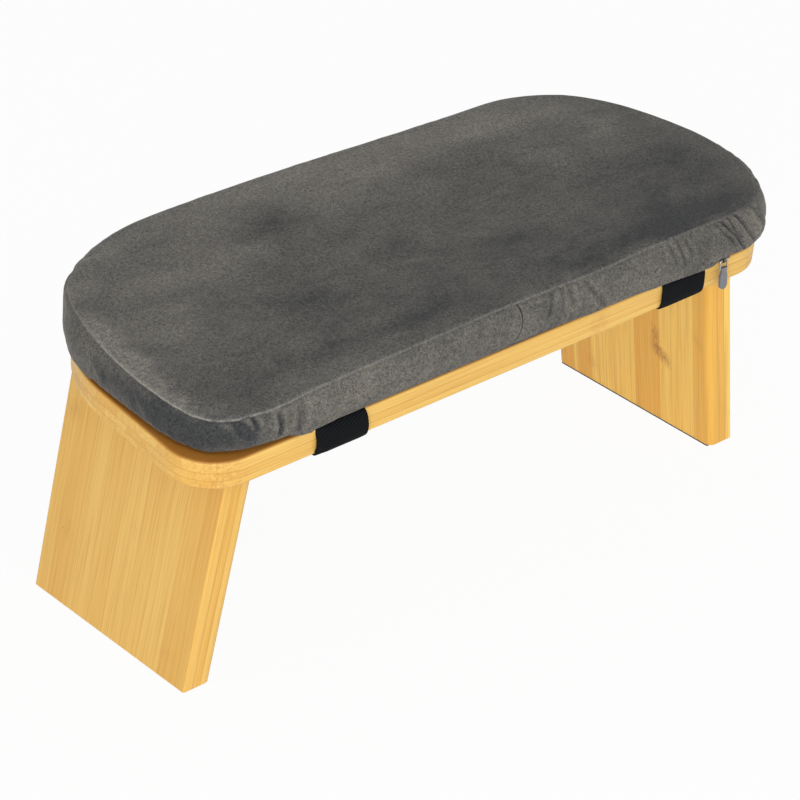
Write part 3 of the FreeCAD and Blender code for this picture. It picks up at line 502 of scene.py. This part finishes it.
# soft patches of brushed pile, and of painted sheen, highlight and shade: on the top by x and y, on
# the band by place and height from the hem;
# then their reach both ways in mm and how much lighter or darker they are
topPatches = (
    # painted highlight: the patches at x -218 to -224 light the rolled left edge of the top
    (-219, 20, 9, 26, 0.9), (-224, -23, 7, 22, 0.8), (-221, -60, 8, 17, 0.8),
    (-204, 64, 15, 13, 0.5), (-173, 90, 24, 7, 0.6), (-133, 36, 26, 11, 0.4),
    (-91, 42, 22, 9, 0.5), (-182, -2, 20, 13, 0.5), (-161, 48, 22, 10, 0.5),
    (173, 71, 26, 11, 0.8), (125, 78, 24, 9, 0.6), (198, 39, 11, 20, 0.5),
    (-13, 62, 26, 9, 0.5), (37, 74, 28, 8, 0.45), (-182, -76, 22, 12, -0.3),
    (180, -57, 11, 6, 0.4), (-63, 59, 22, 10, -0.5), (-99, -19, 32, 14, -0.5),
    (174, -82, 24, 10, -0.5), (57, -41, 32, 14, -0.5), (4, -6, 30, 12, -0.4),
    (-116, -71, 28, 9, -0.5), (-52, -76, 28, 8, -0.4), (110, 10, 34, 14, -0.3),
    (-218, -30, 6, 32, 1.3), (-209, -80, 8, 10, 0.3), (180, -40, 70, 50, -0.5),
    (70, -70, 90, 26, -0.4), (-150, 60, 60, 40, 0.25), (110, 82, 60, 20, 0.3),
    (140, -82, 90, 12, -0.6), (218, -45, 22, 34, -0.3), (-60, -62, 80, 24, -0.3),
    # painted sheen: the patches at y 102 and 100 brighten the top's far edge
    (-30, 102, 170, 24, 0.7), (120, 100, 50, 20, 0.35), (-165, 14, 14, 9, 0.35),
    (85, -45, 11, 10, 0.35), (8, -5, 14, 10, 0.3),
)
bandPatches = (
    # painted shade: the first four patches darken the band round its front-left corner, as velvet
    # seen head-on looks darker
    (-225, 13, 24, 14, -1.0), (-262, 13, 26, 13, -0.95), (-300, 11, 22, 12, -0.7),
    (-196, 12, 10, 12, -0.7), (-335, 8, 11, 9, 0.5), (-150, 16, 20, 9, 0.15),
    (-70, 12, 50, 12, 0.35), (-10, 14, 30, 8, 0.1), (30, 14, 9, 8, -0.35),
    (95, 12, 26, 9, 0.15), (150, 12, 20, 9, -0.15), (184, 12, 5, 9, -0.3), (205, 15, 6, 9, 0.3),
)
# sharp folds in the band: place along the front at hem and seam, width and depth in mm, then the
# lowest and highest share of the band's height
bandFolds = (
    (-187, -204, 3.4, 1.2, 0.30, 1.05), (-186.5, -192.5, 1.9, 1.4, 0.45, 1.05),
    (-176.5, -173.5, 1.8, 1.6, 0.10, 0.95), (-166, -156, 2.6, 0.9, 0.15, 0.95),
    (22, 33.5, 1.8, 0.8, 0.25, 1.05), (36.5, 41.5, 1.6, 0.9, 0.30, 1.05),
    (50, 47, 1.8, 0.7, 0.40, 1.05), (76, 60, 2.6, 0.8, 0.10, 1.0),
    (134.5, 132.5, 1.6, 0.7, 0.35, 1.0), (141.5, 138.5, 1.6, 0.8, 0.35, 1.0),
    (149, 146, 1.7, 0.7, 0.35, 0.95), (192, 173, 2.0, 1.0, 0.20, 1.05),
    (199, 178, 1.9, 1.7, 0.02, 1.05), (199, 184.5, 1.8, 1.1, 0.35, 1.05),
    (211, 193, 2.2, 1.4, 0.15, 1.05), (226, 212, 2.4, 0.9, 0.15, 1.0),
)


def outline(corners, count):
    # a smooth closed line through the points, in even steps
    corners = [Vector(corner) * mm for corner in corners]
    ahead = corners[1:] + corners[:1]
    turns = [(b - a).normalized() for a, b in zip(corners[-1:] + corners[:-1], ahead)]
    path = []
    for a, b, leave, arrive in zip(corners, ahead, turns, turns[1:] + turns[:1]):
        third = (b - a).length / 3
        path += geometry.interpolate_bezier(a, a + leave * third, b - arrive * third, b, 16)[:-1]
    path.append(path[0].copy())
    runs = [(b - a).length for a, b in zip(path, path[1:])]
    total = sum(runs)
    points, walked, leg = [], 0.0, 0
    for i in range(count):
        target = total * i / count
        while walked + runs[leg] < target:
            walked += runs[leg]
            leg += 1
        points.append(path[leg].lerp(path[leg + 1], (target - walked) / max(runs[leg], 1e-9)))
    return points, total


stations = cushion["stations"]
bandRows = len(cushion["bandShares"]) - 1
hemLine, hemLength = outline(hemPoints, stations)
seamLine = outline(seamPoints, stations)[0]
frontStation = min(range(stations // 2), key=lambda i: abs(hemLine[i].x))


def alongFront(i):
    # along the front edge, a place is its x on the seat; round the corners it goes on by arc length
    return hemLine[frontStation].x + hemLength * (i - frontStation) / stations


def outward(line, i):
    along = line[(i + 1) % stations] - line[i - 1]
    return Vector((along.y, -along.x)).normalized()


def goIn(edge, share):
    # part of the way from the outline to the line along the middle
    low, high, y = cushion["spine"]
    flat = edge.lerp(Vector((min(max(edge.x, low * mm), high * mm), y * mm)), share)
    return flat, (flat - edge).length


def coverPoint(i, row):
    # rows from 0 climb the band and go in over the top, and those below 0 go in over the base
    place = alongFront(i) / mm
    lift = blendTable(hemLift, place) * mm
    bow = blendTable(seamBow, place) * mm
    out = outward(hemLine, i)
    if 0 <= row <= bandRows:
        share, leanFrom = cushion["bandShares"][row], cushion["leanFrom"]
        stand = blendTable(bandBulge, share) + blendTable(hemOut, place) * (1 - share)
        lean = smoothSteps((share - leanFrom) / (1 - leanFrom))
        flat = hemLine[i].lerp(seamLine[i], lean) + out * stand * mm
        low, high = cushion["hemHeight"] + lift, cushion["seamHeight"] + bow
        return Vector((flat.x, flat.y, low + (high - low) * share)), share * cushion["band"]
    if row > 0:
        flat, inward = goIn(seamLine[i], cushion["topShares"][row - bandRows - 1])
        height = cushion["seamHeight"] + bow * (1 - smoothSteps(inward / cushion["bowReach"]))
        height += cushion["crown"] * (1 - math.exp(-inward / cushion["crownReach"]))
        return Vector((flat.x, flat.y, height)), cushion["band"] + inward
    under, turns = -row - 1, len(plainTurn)
    if under < turns:
        first, last, ease = cushion["zipPocket"]
        zipped = smoothSteps((place - first) / ease) * smoothSteps((last - place) / ease)
        stand, height = (a + (b - a) * zipped for a, b in zip(plainTurn[under], zipTurn[under]))
        stand += blendTable(hemOut, place) * (1 - under / turns)
        flat = hemLine[i] + out * stand * mm
        return Vector((flat.x, flat.y, height * mm + lift)), -(under + 1) * mm
    flat, inward = goIn(hemLine[i], cushion["baseShares"][under - turns])
    height = cushion["baseHeight"] + lift * (1 - smoothSteps(inward / cushion["liftReach"]))
    return Vector((flat.x, flat.y, height)), -inward


def growRings(bm, rows, edges, rowLayer, acrossLayer, stationLayer):
    # extrudes an edge ring again and again, and sets each new ring to its row of the cover
    for row in rows:
        made = bmesh.ops.extrude_edge_only(bm, edges=edges)["geom"]
        ring = [item for item in made if isinstance(item, bmesh.types.BMVert)]
        for vertex in ring:
            vertex[rowLayer] = row
            vertex.co, vertex[acrossLayer] = coverPoint(vertex[stationLayer], row)
        # a dictionary's keys stay in order, as a set's don't, so the mesh is the same each run
        touching = dict.fromkeys(edge for vertex in ring for edge in vertex.link_edges)
        edges = [edge for edge in touching if all(end[rowLayer] == row for end in edge.verts)]
    return edges


def fillMiddle(bm, edges, rowLayer, acrossLayer, stationLayer):
    # an even grid between the front and the back run of the innermost ring
    front, back = stations // 4, stations * 3 // 4
    length = stations // 2 - cushion["gridMargin"]
    row, level = edges[0].verts[0][rowLayer], edges[0].verts[0].co.z
    runs = []
    for edge in edges:
        a, b = sorted(vertex[stationLayer] for vertex in edge.verts)
        a, b = (b, a) if b - a > 1 else (a, b)
        if any((a - middle + length // 2) % stations < length for middle in (front, back)):
            runs.append(edge)
    known = set(bm.verts)
    bmesh.ops.grid_fill(bm, edges=runs)
    for vertex in bm.verts:
        if vertex not in known:
            vertex[rowLayer] = row
            vertex[acrossLayer] = math.copysign(cushion["middleReach"], row)
            vertex.co.z = level


def buildCover():
    bm = bmesh.new()
    whole, real = bm.verts.layers.int, bm.verts.layers.float
    for kind, name in ((whole, "row"), (whole, "station"), (real, "across")):
        kind.new(name)
    rowLayer, stationLayer, acrossLayer = whole["row"], whole["station"], real["across"]
    ring = bmesh.ops.create_circle(bm, segments=stations, radius=1.0)["verts"]
    for i, vertex in enumerate(ring):
        vertex[stationLayer] = i
        vertex.co, vertex[acrossLayer] = coverPoint(i, 0)
    hem = list(bm.edges)
    topCount, baseCount = len(cushion["topShares"]), len(plainTurn) + len(cushion["baseShares"])
    for rows in (range(1, bandRows + 1 + topCount), range(-1, -baseCount - 1, -1)):
        last = growRings(bm, rows, hem, rowLayer, acrossLayer, stationLayer)
        fillMiddle(bm, last, rowLayer, acrossLayer, stationLayer)
    bmesh.ops.recalc_face_normals(bm, faces=bm.faces)
    return bm


bandCloth = {
    "frames": 24,
    "furthest": 2.4 * mm,  # no point of the band moves further than this
    "seamHold": 0.55,  # how firmly the upper seam and the rows beside it are held
    "seamRows": 3,  # how many rows of the top that is
    "settings": {
        "quality": 6, "mass": 0.12, "air_damping": 4,
        "tension_stiffness": 18, "compression_stiffness": 18,
        "shear_stiffness": 6, "bending_stiffness": 0.05,
        "use_pressure": True, "uniform_pressure_force": 2.5,
        "vertex_group_mass": "held", "pin_stiffness": 1.0,
        "vertex_group_shrink": "tight",
        "shrink_min": -0.05,  # the band's cloth is this much longer than its foam
        "shrink_max": 0.0,
    },
}


def simulateBand(piece):
    # the band's cloth is cut longer than the foam, so it gathers between its two seams
    rows = [value.value for value in piece.data.attributes["row"].data]
    marks = [value.value for value in piece.data.attributes["station"].data]
    held = piece.vertex_groups.new(name="held")
    tight = piece.vertex_groups.new(name="tight")
    lastHeld = bandRows + bandCloth["seamRows"]
    for index, (row, station) in enumerate(zip(rows, marks)):
        gather = blendTable(bandGather, alongFront(station) / mm) if 0 < row <= bandRows else 0.0
        hold = bandCloth["seamHold"] if bandRows <= row <= lastHeld else 1.0
        held.add([index], 0.0 if 0 < row < bandRows else hold, "REPLACE")
        tight.add([index], 1 - gather, "REPLACE")
    start = [vertex.co.copy() for vertex in piece.data.vertices]
    cloth = piece.modifiers.new("cloth", "CLOTH")
    for key, value in bandCloth["settings"].items():
        setattr(cloth.settings, key, value)
    cloth.settings.effector_weights.gravity = 0
    cloth.point_cache.frame_start = 1
    cloth.point_cache.frame_end = bandCloth["frames"]
    for step in range(1, bandCloth["frames"] + 1):
        scene.frame_set(step)
    applyModifiers(piece)
    scene.frame_set(1)
    most, furthest = 0.0, bandCloth["furthest"]
    for vertex, home in zip(piece.data.vertices, start):
        moved = vertex.co - home
        most = max(most, moved.length)
        if moved.length > furthest:
            vertex.co = home + moved * (furthest / moved.length)
    print("cushion band simulated, largest move in mm:", round(most / mm, 2))


sewing = {
    # rises (or dips) beside the upper seam, and beside the upright joint of the band's two halves:
    # height in mm, place beside the seam in mm and half width
    "seamShape": ((-0.75, 0.0, 1.1), (0.45, 3.4, 2.2), (0.30, -2.8, 1.8)),
    "jointShape": ((-0.8, 0.0, 1.1), (0.40, -2.42, 1.1)),
    "joint": (-1.0, 26.0, -20.0),  # its place in mm by the share of the height: start, slope, bend
    "ripple": 0.38 * mm,
    "foldDepth": 1.35 * mm,  # for a depth of 1 in the table of folds
    "foldEase": (0.18, 0.12),  # shares of the height over which a fold starts and ends
    "foldRim": (0.42, 1.7),  # height of its rims as a share of its depth, and their place in widths
    "topUneven": 0.55 * mm,
    "bandUneven": 0.30 * mm,
    "foldShade": 0.45,  # painted shade: how much darker a fold is painted, for each mm of its depth; its raised rims are painted lighter as highlight
}


def bumpsBeside(shape, off):
    # height of a seam's rounded dips and rises, off mm beside it
    return sum(height * mm * math.exp(-((off - at) / width) ** 2) for height, at, width in shape)


def jointPlace(share):
    # place of the band's upright joint in mm, for numbers and for sockets
    start, slope, bend = sewing["joint"]
    return share * slope + share * share * bend + start


def foldDepth(place, share):
    # how far the folds in the band push its surface in, with a raised rim on both sides
    depth = 0.0
    (startEase, endEase), (rim, rimPlace) = sewing["foldEase"], sewing["foldRim"]
    for atHem, atSeam, width, deep, lowest, highest in bandFolds:
        off = abs(place / mm - (atHem + (atSeam - atHem) * share)) / width
        if off < 4:
            fade = smoothSteps((share - lowest) / startEase)
            fade *= smoothSteps((highest - share) / endEase)
            depth += deep * fade * (math.exp(-off * off) - rim * math.exp(-(off - rimPlace) ** 2))
    return depth * sewing["foldDepth"]


def patchTone(patches, x, y):
    # how brushed the pile is at a place, or how much painted sheen, highlight or shade it has, with
    # ragged outlines
    drift = Vector((x * 0.045, y * 0.07, 1.0))
    x += 9 * noise.noise(drift) + 3 * noise.noise(drift * 3.1)
    y += 5 * noise.noise(drift + Vector((7, 3, 0))) + 2 * noise.noise(drift * 3.3)
    tone = 0.0
    for atX, atY, reachX, reachY, strength in patches:
        far = ((x - atX) / reachX) ** 2 + ((y - atY) / reachY) ** 2
        if far < 6:
            tone += strength * math.exp(-far)
    return tone


def placesAlong(mesh):
    # each vertex's place along the hem's line
    tree = kdtree.KDTree(stations)
    for i, point in enumerate(hemLine):
        tree.insert((point.x, point.y, 0), i)
    tree.balance()
    places = []
    for vertex in mesh.vertices:
        near, i = tree.find(Vector((vertex.co.x, vertex.co.y, 0)))[:2]
        along = (hemLine[(i + 1) % stations] - hemLine[i - 1]).normalized()
        slide = (vertex.co.x - near.x) * along.x + (vertex.co.y - near.y) * along.y
        places.append(alongFront(i) + min(max(slide, -2 * mm), 2 * mm))
    return places


def sewCover(piece):
    # folds, seams and the soft unevenness of the foam, on the finer mesh
    mesh = piece.data
    across = [value.value for value in mesh.attributes["across"].data]
    # brushed pile together with painted sheen, highlight and shade, for each vertex
    brushed = mesh.attributes.new("brushed", "FLOAT", "POINT").data
    normals = [normal.vector.copy() for normal in mesh.vertex_normals]
    places = placesAlong(mesh)
    for index, (vertex, place, reach) in enumerate(zip(mesh.vertices, places, across)):
        share = reach / cushion["band"]
        push = fold = 0.0
        if -0.1 < share < 1.3:
            fold = foldDepth(place, share)
            push -= fold
        besideJoint = place / mm - jointPlace(share)
        if -0.1 < share < 1.0 and abs(besideJoint) < 5.5:
            push += bumpsBeside(sewing["jointShape"], besideJoint)
        # the sewn seam sinks, and the cloth rolls up beside it
        besideSeam = (reach - cushion["band"]) / mm
        if abs(besideSeam) < 12:
            push += bumpsBeside(sewing["seamShape"], besideSeam)
            ripple = noise.noise(Vector((place * 70, 3.0, 0)))
            loose = 0.1 + 0.9 * blendTable(bandGather, place / mm)
            push += sewing["ripple"] * loose * ripple * math.exp(-(besideSeam / 5) ** 2)
        if share > 1:
            x, y = vertex.co.xy
            push += sewing["topUneven"] * noise.noise(Vector((x * 17, y * 17, 5.0)))
            brushed[index].value = patchTone(topPatches, x / mm, y / mm)
        elif share > 0:
            push += sewing["bandUneven"] * noise.noise(Vector((place * 90, share * 2.5, 9.0)))
            tone = patchTone(bandPatches, place / mm, reach / mm)
            # painted shade in the folds' valleys and painted highlight on their rims
            brushed[index].value = tone - sewing["foldShade"] * fold / mm
        vertex.co += normals[index] * push
    # a map for the sewing: along the seam, then up the band and in over the top, in metres
    sewingMap = mesh.uv_layers.new(name="sewingMap")
    for face in mesh.polygons:
        ends = [places[mesh.loops[loop].vertex_index] for loop in face.loop_indices]
        wraps = max(ends) - min(ends) > hemLength / 2
        for loop, place in zip(face.loop_indices, ends):
            if wraps and place < max(ends) - hemLength / 2:
                place += hemLength
            sewingMap.data[loop].uv = (place, across[mesh.loops[loop].vertex_index])


velvet = {
    # the band's colours are a slightly lighter copy of the top's: painted light on the band
    "topBrushed": (0.176, 0.168, 0.152),
    "topShade": (0.040, 0.042, 0.044),
    "bandBrushed": (0.190, 0.178, 0.154),
    "bandShade": (0.042, 0.044, 0.046),
    "seamLight": (0.340, 0.325, 0.290),
    "seamShade": (0.022, 0.022, 0.022),
    "grainDark": (0.42, 0.42, 0.44),  # what the pile's fine grain multiplies its colour by
    "grainLight": (1.78, 1.76, 1.70),
    "tone": 0.43,  # how brushed the pile is on the whole
    "brushedAndPaintedLightTone": 0.5, "patchTone": 0.8, "strokeTone": 0.55,
    "pileDepth": 0.4 * mm,
    "seamAt": 25.4 * mm,  # where the light line of the upper seam lies on the sewing map
    "seamWidth": 1.1 * mm,
    # how much that line catches the light, by place along the front in mm
    "seamCatch": ((-340, 0.8), (-190, 0.8), (-150, 0.35), (40, 0.35), (190, 0.35), (230, 0.08),
                  (320, 0.08), (420, 0.3)),
    "jointEdge": 1.6,  # how far the joint's painted highlight lies to its left, in mm
}


def makeVelvet():
    # short pile with its grain, brushed patches with painted sheen, highlight and shade among them,
    # a soft sheen and the light line of the seam
    s = Shader("greyVelvet", Sheen_Weight=0.25, Sheen_Roughness=0.4,
               Sheen_Tint=(0.95, 0.91, 0.87, 1), Specular_IOR_Level=0.1)
    where = s.place(seatFrame)
    x, y, z = s.split(where)
    along, across = s.split(s.add("ShaderNodeUVMap", {"uv_map": "sewingMap"}))[:2]

    # brushed pile together with painted sheen, highlight and shade
    brushed = s.add("ShaderNodeAttribute", {"attribute_name": "brushed"}, out="Fac")
    patch = s.noise(s.join(x * 13.0, y * 16.0, z * 16.0), 1.0, 5.0, 0.66, 0.5)
    stroke = s.noise(s.join(x * 34.0, y * 52.0, z * 52.0), 1.0, 4.0, 0.68, 1.2)
    pile = s.noise(where, 1150.0, 2.0, 0.8)
    tuft = s.noise(where, 440.0, 3.0, 0.75)
    tone = (brushed * velvet["brushedAndPaintedLightTone"] + (patch - 0.5) * velvet["patchTone"]
            + (stroke - 0.5) * velvet["strokeTone"] + velvet["tone"])

    # painted light: the band takes the lighter copy of the colours, the top the darker
    onTop = s.ramp(across / (2 * cushion["band"]), (0.485, 0.0), (0.505, 1.0))
    shade = s.mix(onTop, velvet["bandShade"], velvet["topShade"])
    lifted = s.mix(onTop, velvet["bandBrushed"], velvet["topBrushed"])
    color = s.mix(s.ramp(tone, (0.0, 0.0), (1.0, 1.0)), shade, lifted)
    grain = s.ramp(pile * 0.6 + tuft * 0.4, (0.36, 0.0), (0.64, 1.0))
    color = s.mix(grain, s.mix(1.0, color, velvet["grainDark"], "MULTIPLY"),
                  s.mix(1.0, color, velvet["grainLight"], "MULTIPLY"))

    # the upper seam catches the light in a broken line
    besideSeam = ((across - velvet["seamAt"]) / velvet["seamWidth"]).math("ABSOLUTE")
    line = s.ramp(besideSeam, (0.25, 1.0), (1.0, 0.0))
    gaps = s.noise(s.join(along * 900.0, across * 300.0, 0.0), 1.0, 2.0, 0.6)
    broken = s.ramp(gaps, (0.35, 0.15), (0.6, 1.0))
    first = velvet["seamCatch"][0][0]
    catching = s.ramp(along - first * mm, *(((place - first) * mm, catch)
                                            for place, catch in velvet["seamCatch"]))
    color = s.mix(line * broken * catching, color, velvet["seamLight"])

    # the band's upright joint: a dark line, with a painted highlight along its left edge
    share = across / cushion["band"]
    besideJoint = along / mm - jointPlace(share)
    onBand = s.ramp(share, (0.04, 0.0), (0.12, 1.0), (0.94, 1.0), (1.0, 0.0))
    dark = s.ramp(besideJoint.math("ABSOLUTE"), (0.35, 0.75), (0.95, 0.0)) * onBand
    besideEdge = (besideJoint + velvet["jointEdge"]).math("ABSOLUTE")
    light = s.ramp(besideEdge, (0.3, 0.30), (1.0, 0.0)) * onBand
    color = s.mix(light, s.mix(dark, color, velvet["seamShade"]), velvet["seamLight"])
    s.to("Base Color", color)
    s.to("Roughness", 0.84 + pile * 0.14)
    fuzz = s.bump(pile, velvet["pileDepth"], 0.45)
    s.to("Normal", s.bump(tuft * 0.6 + stroke * 0.4, velvet["pileDepth"], 0.4, Normal=fuzz))
    return s.material


def makeCushion():
    cover = newPiece("cushion_cover", buildCover(), makeVelvet())
    simulateBand(cover)
    finer = cover.modifiers.new("finer", "SUBSURF")
    finer.levels = finer.render_levels = 1
    applyModifiers(cover)
    sewCover(cover)
    cover.data.transform(seatFrame)
    finishPiece(cover, "seat", "velvet", "cover_top_panel", "cover_band_left", "cover_band_right",
                "cover_base_panel", "cushion_foam")
    print("cushion made:", len(cover.data.polygons), "faces")


makeCushion()


# elastic straps that go right round the board, with both ends tucked in under the cushion
straps = {
    "width": 37 * mm,
    "thickness": 1.3 * mm,
    "selvedge": 0.25 * mm,  # how far both edges turn in
    "wave": 0.18 * mm,
    "edgeRound": 0.35 * mm,
    "ribs": 2.1 * mm,
    "ribSlant": 0.45,
    "yarns": 1.0 * mm,
    "steps": 240,
    "columns": 20,
    "insetShare": 0.22,  # how much of the width an inset edge takes, and over which share it eases
    "insetEase": 0.125,
    "insetFront": (-101 * mm, 1.5 * mm),  # y in front of which it starts, and over what length
    "heart": 90 * mm,  # both ends of the board's middle line, which the webbing faces
    # y and z on the seat in mm: each strap's run in front and below, then the rear of both
    "left": {
        "start": -148.2 * mm,
        "waveSeed": 4.0,
        "inset": 1.5 * mm,  # how much its left edge hugs the board in front, clear of the zip pull
        "path": ((-70, 20.4), (-95, 20.4), (-99.4, 19.2), (-102.0, 17.0), (-103.6, 13.8),
                 (-104.4, 9.7), (-104.4, 5.5), (-103.2, 2.0), (-100.8, -0.9), (-97.0, -1.6),
                 (-90, -1.5), (0, -1.5)),
    },
    "right": {
        "start": 127.5 * mm,
        "waveSeed": 8.0,
        "inset": 0.0,
        "path": ((-70, 20.4), (-96, 20.4), (-100.3, 19.4), (-101.9, 17.0), (-102.5, 12.5),
                 (-102.7, 7.0), (-102.3, 2.8), (-100.6, -0.7), (-97.0, -1.8), (-90, -1.5),
                 (0, -1.5)),
    },
    "rear": ((90, -1.5), (97.5, -1.5), (100.9, -0.9), (102.3, 2.4), (102.7, 9.5), (102.3, 16.6),
             (100.6, 19.6), (96.5, 20.4), (70, 20.4)),
}


def makeElastic():
    # black ribbed webbing, on the strap's own map in metres
    s = Shader("ribbedElastic", Specular_IOR_Level=0.05)
    along, across = s.split(s.add("ShaderNodeUVMap", {"uv_map": "webMap"}))[:2]
    rib = s.waves(along + across * straps["ribSlant"], straps["ribs"])
    yarn = s.waves(across, straps["yarns"])
    lint = s.noise(s.join(along * 900.0, across * 900.0, 0.0), 1.0, 3.0, 0.7)
    shade = s.mix(rib * 0.75 + yarn * 0.25, (0.0020, 0.0024, 0.0028), (0.0115, 0.0132, 0.0148))
    caught = s.ramp(lint, (0.62, 0.0), (0.80, 1.0)) * 0.5
    s.to("Base Color", s.mix(caught, shade, (0.020, 0.022, 0.024)))
    s.to("Roughness", 0.62 + lint * 0.22)
    s.to("Normal", s.bump(rib * 0.7 + yarn * 0.4, 0.3 * mm, 0.8))
    return s.material


def strapPath(points, steps):
    # a smooth run through the points, in even steps
    curve = bpy.data.curves.new("strapLine", "CURVE")
    curve.dimensions = "3D"
    curve.resolution_u = 12
    spline = curve.splines.new("NURBS")
    spline.points.add(len(points) - 1)
    for point, (y, z) in zip(spline.points, points):
        point.co = (0, y * mm, z * mm, 1)
    spline.order_u = 3
    spline.use_endpoint_u = True
    holder = bpy.data.objects.new("strapLine", curve)
    mesh = bpy.data.meshes.new_from_object(holder)
    fine = [vertex.co.copy() for vertex in mesh.vertices]
    bpy.data.objects.remove(holder)
    bpy.data.meshes.remove(mesh)
    runs = [0.0]
    for a, b in zip(fine, fine[1:]):
        runs.append(runs[-1] + (b - a).length)
    even, leg = [], 0
    for step in range(steps + 1):
        target = runs[-1] * step / steps
        while leg < len(fine) - 2 and runs[leg + 1] < target:
            leg += 1
        part = (target - runs[leg]) / (runs[leg + 1] - runs[leg])
        even.append(fine[leg].lerp(fine[leg + 1], part))
    return even, runs[-1]


def makeStrap(side, material):
    settings = straps[side]
    width, steps, heart = straps["width"], straps["steps"], straps["heart"]
    frontLine, frontEase = straps["insetFront"]
    path, length = strapPath(settings["path"] + straps["rear"], steps)
    bm = bmesh.new()
    bmesh.ops.create_grid(bm, x_segments=straps["columns"], y_segments=steps, size=0.5)
    webMap = bm.loops.layers.uv.new("webMap")
    for face in bm.faces:
        for loop in face.loops:
            x, y = loop.vert.co.x + 0.5, loop.vert.co.y + 0.5
            loop[webMap].uv = (y * length, x * width)
    for vertex in bm.verts:
        x, step = vertex.co.x + 0.5, round((vertex.co.y + 0.5) * steps)
        at = path[step]
        tuck = straps["selvedge"] * abs(2 * x - 1) ** 6
        inset = settings["inset"] * smoothSteps((straps["insetShare"] - x) / straps["insetEase"])
        tuck += inset * smoothSteps((frontLine - at.y) / frontEase)
        wave = noise.noise(Vector((x * 2.2, step * 0.06, settings["waveSeed"])))
        middle = Vector((0, min(max(at.y, -heart), heart), boardThick / 2))
        inward = (middle - at).normalized() * (tuck + straps["wave"] * wave)
        vertex.co = at + inward + Vector((settings["start"] + x * width, 0, 0))
    bmesh.ops.recalc_face_normals(bm, faces=bm.faces)
    strap = newPiece(f"{side}_strap_webbing", bm, material)
    # the path is the outer face, so the cloth's thickness goes to the board
    thick = strap.modifiers.new("thick", "SOLIDIFY")
    thick.thickness = straps["thickness"]
    front = min(strap.data.polygons, key=lambda face: face.center.y)
    thick.offset = -1.0 if front.normal.y < 0 else 1.0
    rounded = strap.modifiers.new("rounded", "BEVEL")
    rounded.width = straps["edgeRound"]
    rounded.segments = 2
    applyModifiers(strap)
    strap.data.transform(seatFrame)
    finishPiece(strap, "seat", "elastic", f"{side}_cushion_strap")


elastic = makeElastic()
for side in ("left", "right"):
    makeStrap(side, elastic)
print("straps made")


camera = {
    "azimuth": math.radians(-38.666),
    "elevation": math.radians(29.907),
    "roll": math.radians(-1.002),
    "distance": 1.75242,
    "lens": 123.07,
    "sensor": 36.0,
    "clipEnd": 20.0,
    "target": Vector((-8.246, -4.963, -69.016)) * mm,  # from the seat's origin
}


def makeCamera():
    data = bpy.data.cameras.new("studioCamera")
    data.lens = camera["lens"]
    data.sensor_width = camera["sensor"]
    data.clip_end = camera["clipEnd"]
    lens = bpy.data.objects.new("studioCamera", data)
    scene.collection.objects.link(lens)
    turn, rise, roll = camera["azimuth"], camera["elevation"], camera["roll"]
    level = Vector((math.sin(turn), -math.cos(turn), 0)) * math.cos(rise)
    back = level + Vector((0, 0, math.sin(rise)))
    flatRight = Vector((math.cos(turn), math.sin(turn), 0))
    flatUp = back.cross(flatRight)
    right = flatRight * math.cos(roll) + flatUp * math.sin(roll)
    up = flatUp * math.cos(roll) - flatRight * math.sin(roll)
    place = seatOrigin + camera["target"] + back * camera["distance"]
    lens.matrix_world = Matrix.Translation(place) @ Matrix((right, up, back)).transposed().to_4x4()
    scene.camera = lens


studio = {
    "world": 0.52,
    # name, power, size and place of each soft light
    "lights": (("keyLight", 20.0, 1.6, (-0.6, -2.2, 1.9)),
               ("frontCard", 36.0, 1.4, (-1.75, -1.95, 0.55))),
    "aim": Vector((0, 0, 0.12)),  # the point that both lights face
    "floorReach": 6.0,
    "floorColor": (0.90, 0.90, 0.895),
    "floorGlow": 0.95,
}


def seenDirectly(tree):
    # 1 for what the camera, a reflection or clear material sees
    path = tree.nodes.new("ShaderNodeLightPath")
    first = tree.nodes.new("ShaderNodeMath")
    second = tree.nodes.new("ShaderNodeMath")
    for node, a, b in ((first, path.outputs["Is Camera Ray"], path.outputs["Is Glossy Ray"]),
                       (second, first.outputs[0], path.outputs["Is Transmission Ray"])):
        node.operation = "MAXIMUM"
        tree.links.new(a, node.inputs[0])
        tree.links.new(b, node.inputs[1])
    return second.outputs[0]


def mixInto(tree, output, *sockets):
    # mixes two shaders by a factor, into the tree's output
    mix = tree.nodes.new("ShaderNodeMixShader")
    for place, socket in enumerate(sockets):
        tree.links.new(socket, mix.inputs[place])
    tree.links.new(mix.outputs[0], tree.nodes[output].inputs[0])


def makeStudio():
    world = bpy.data.worlds.new("studioWorld")
    world.use_nodes = True
    scene.world = world
    tree = world.node_tree
    soft = tree.nodes["Background"]
    soft.inputs["Color"].default_value = (1, 1, 1, 1)
    soft.inputs["Strength"].default_value = studio["world"]
    white = tree.nodes.new("ShaderNodeBackground")
    white.inputs["Color"].default_value = (1, 1, 1, 1)
    mixInto(tree, "World Output", seenDirectly(tree), soft.outputs[0], white.outputs[0])

    bm = bmesh.new()
    bmesh.ops.create_grid(bm, x_segments=1, y_segments=1, size=studio["floorReach"])
    paper = Shader("studioFloor", Base_Color=(*studio["floorColor"], 1), Roughness=0.9,
                   Specular_IOR_Level=0.0)
    glow = paper.tree.nodes.new("ShaderNodeEmission")
    share = Sock(paper, seenDirectly(paper.tree)) * studio["floorGlow"]
    mixInto(paper.tree, "Material Output", share.socket, paper.surface.outputs[0], glow.outputs[0])
    floor = newPiece("studio_floor", bm, paper.material, smooth=False)

    for name, power, size, place in studio["lights"]:
        light = bpy.data.lights.new(name, "AREA")
        light.energy = power
        light.size = size
        lamp = bpy.data.objects.new(name, light)
        lamp.visible_camera = False
        scene.collection.objects.link(lamp)
        turn = (studio["aim"] - Vector(place)).to_track_quat("-Z", "Y")
        lamp.matrix_world = Matrix.Translation(place) @ turn.to_matrix().to_4x4()


makeCamera()
makeStudio()
scene.view_settings.view_transform = "Standard"
print("camera and studio done")
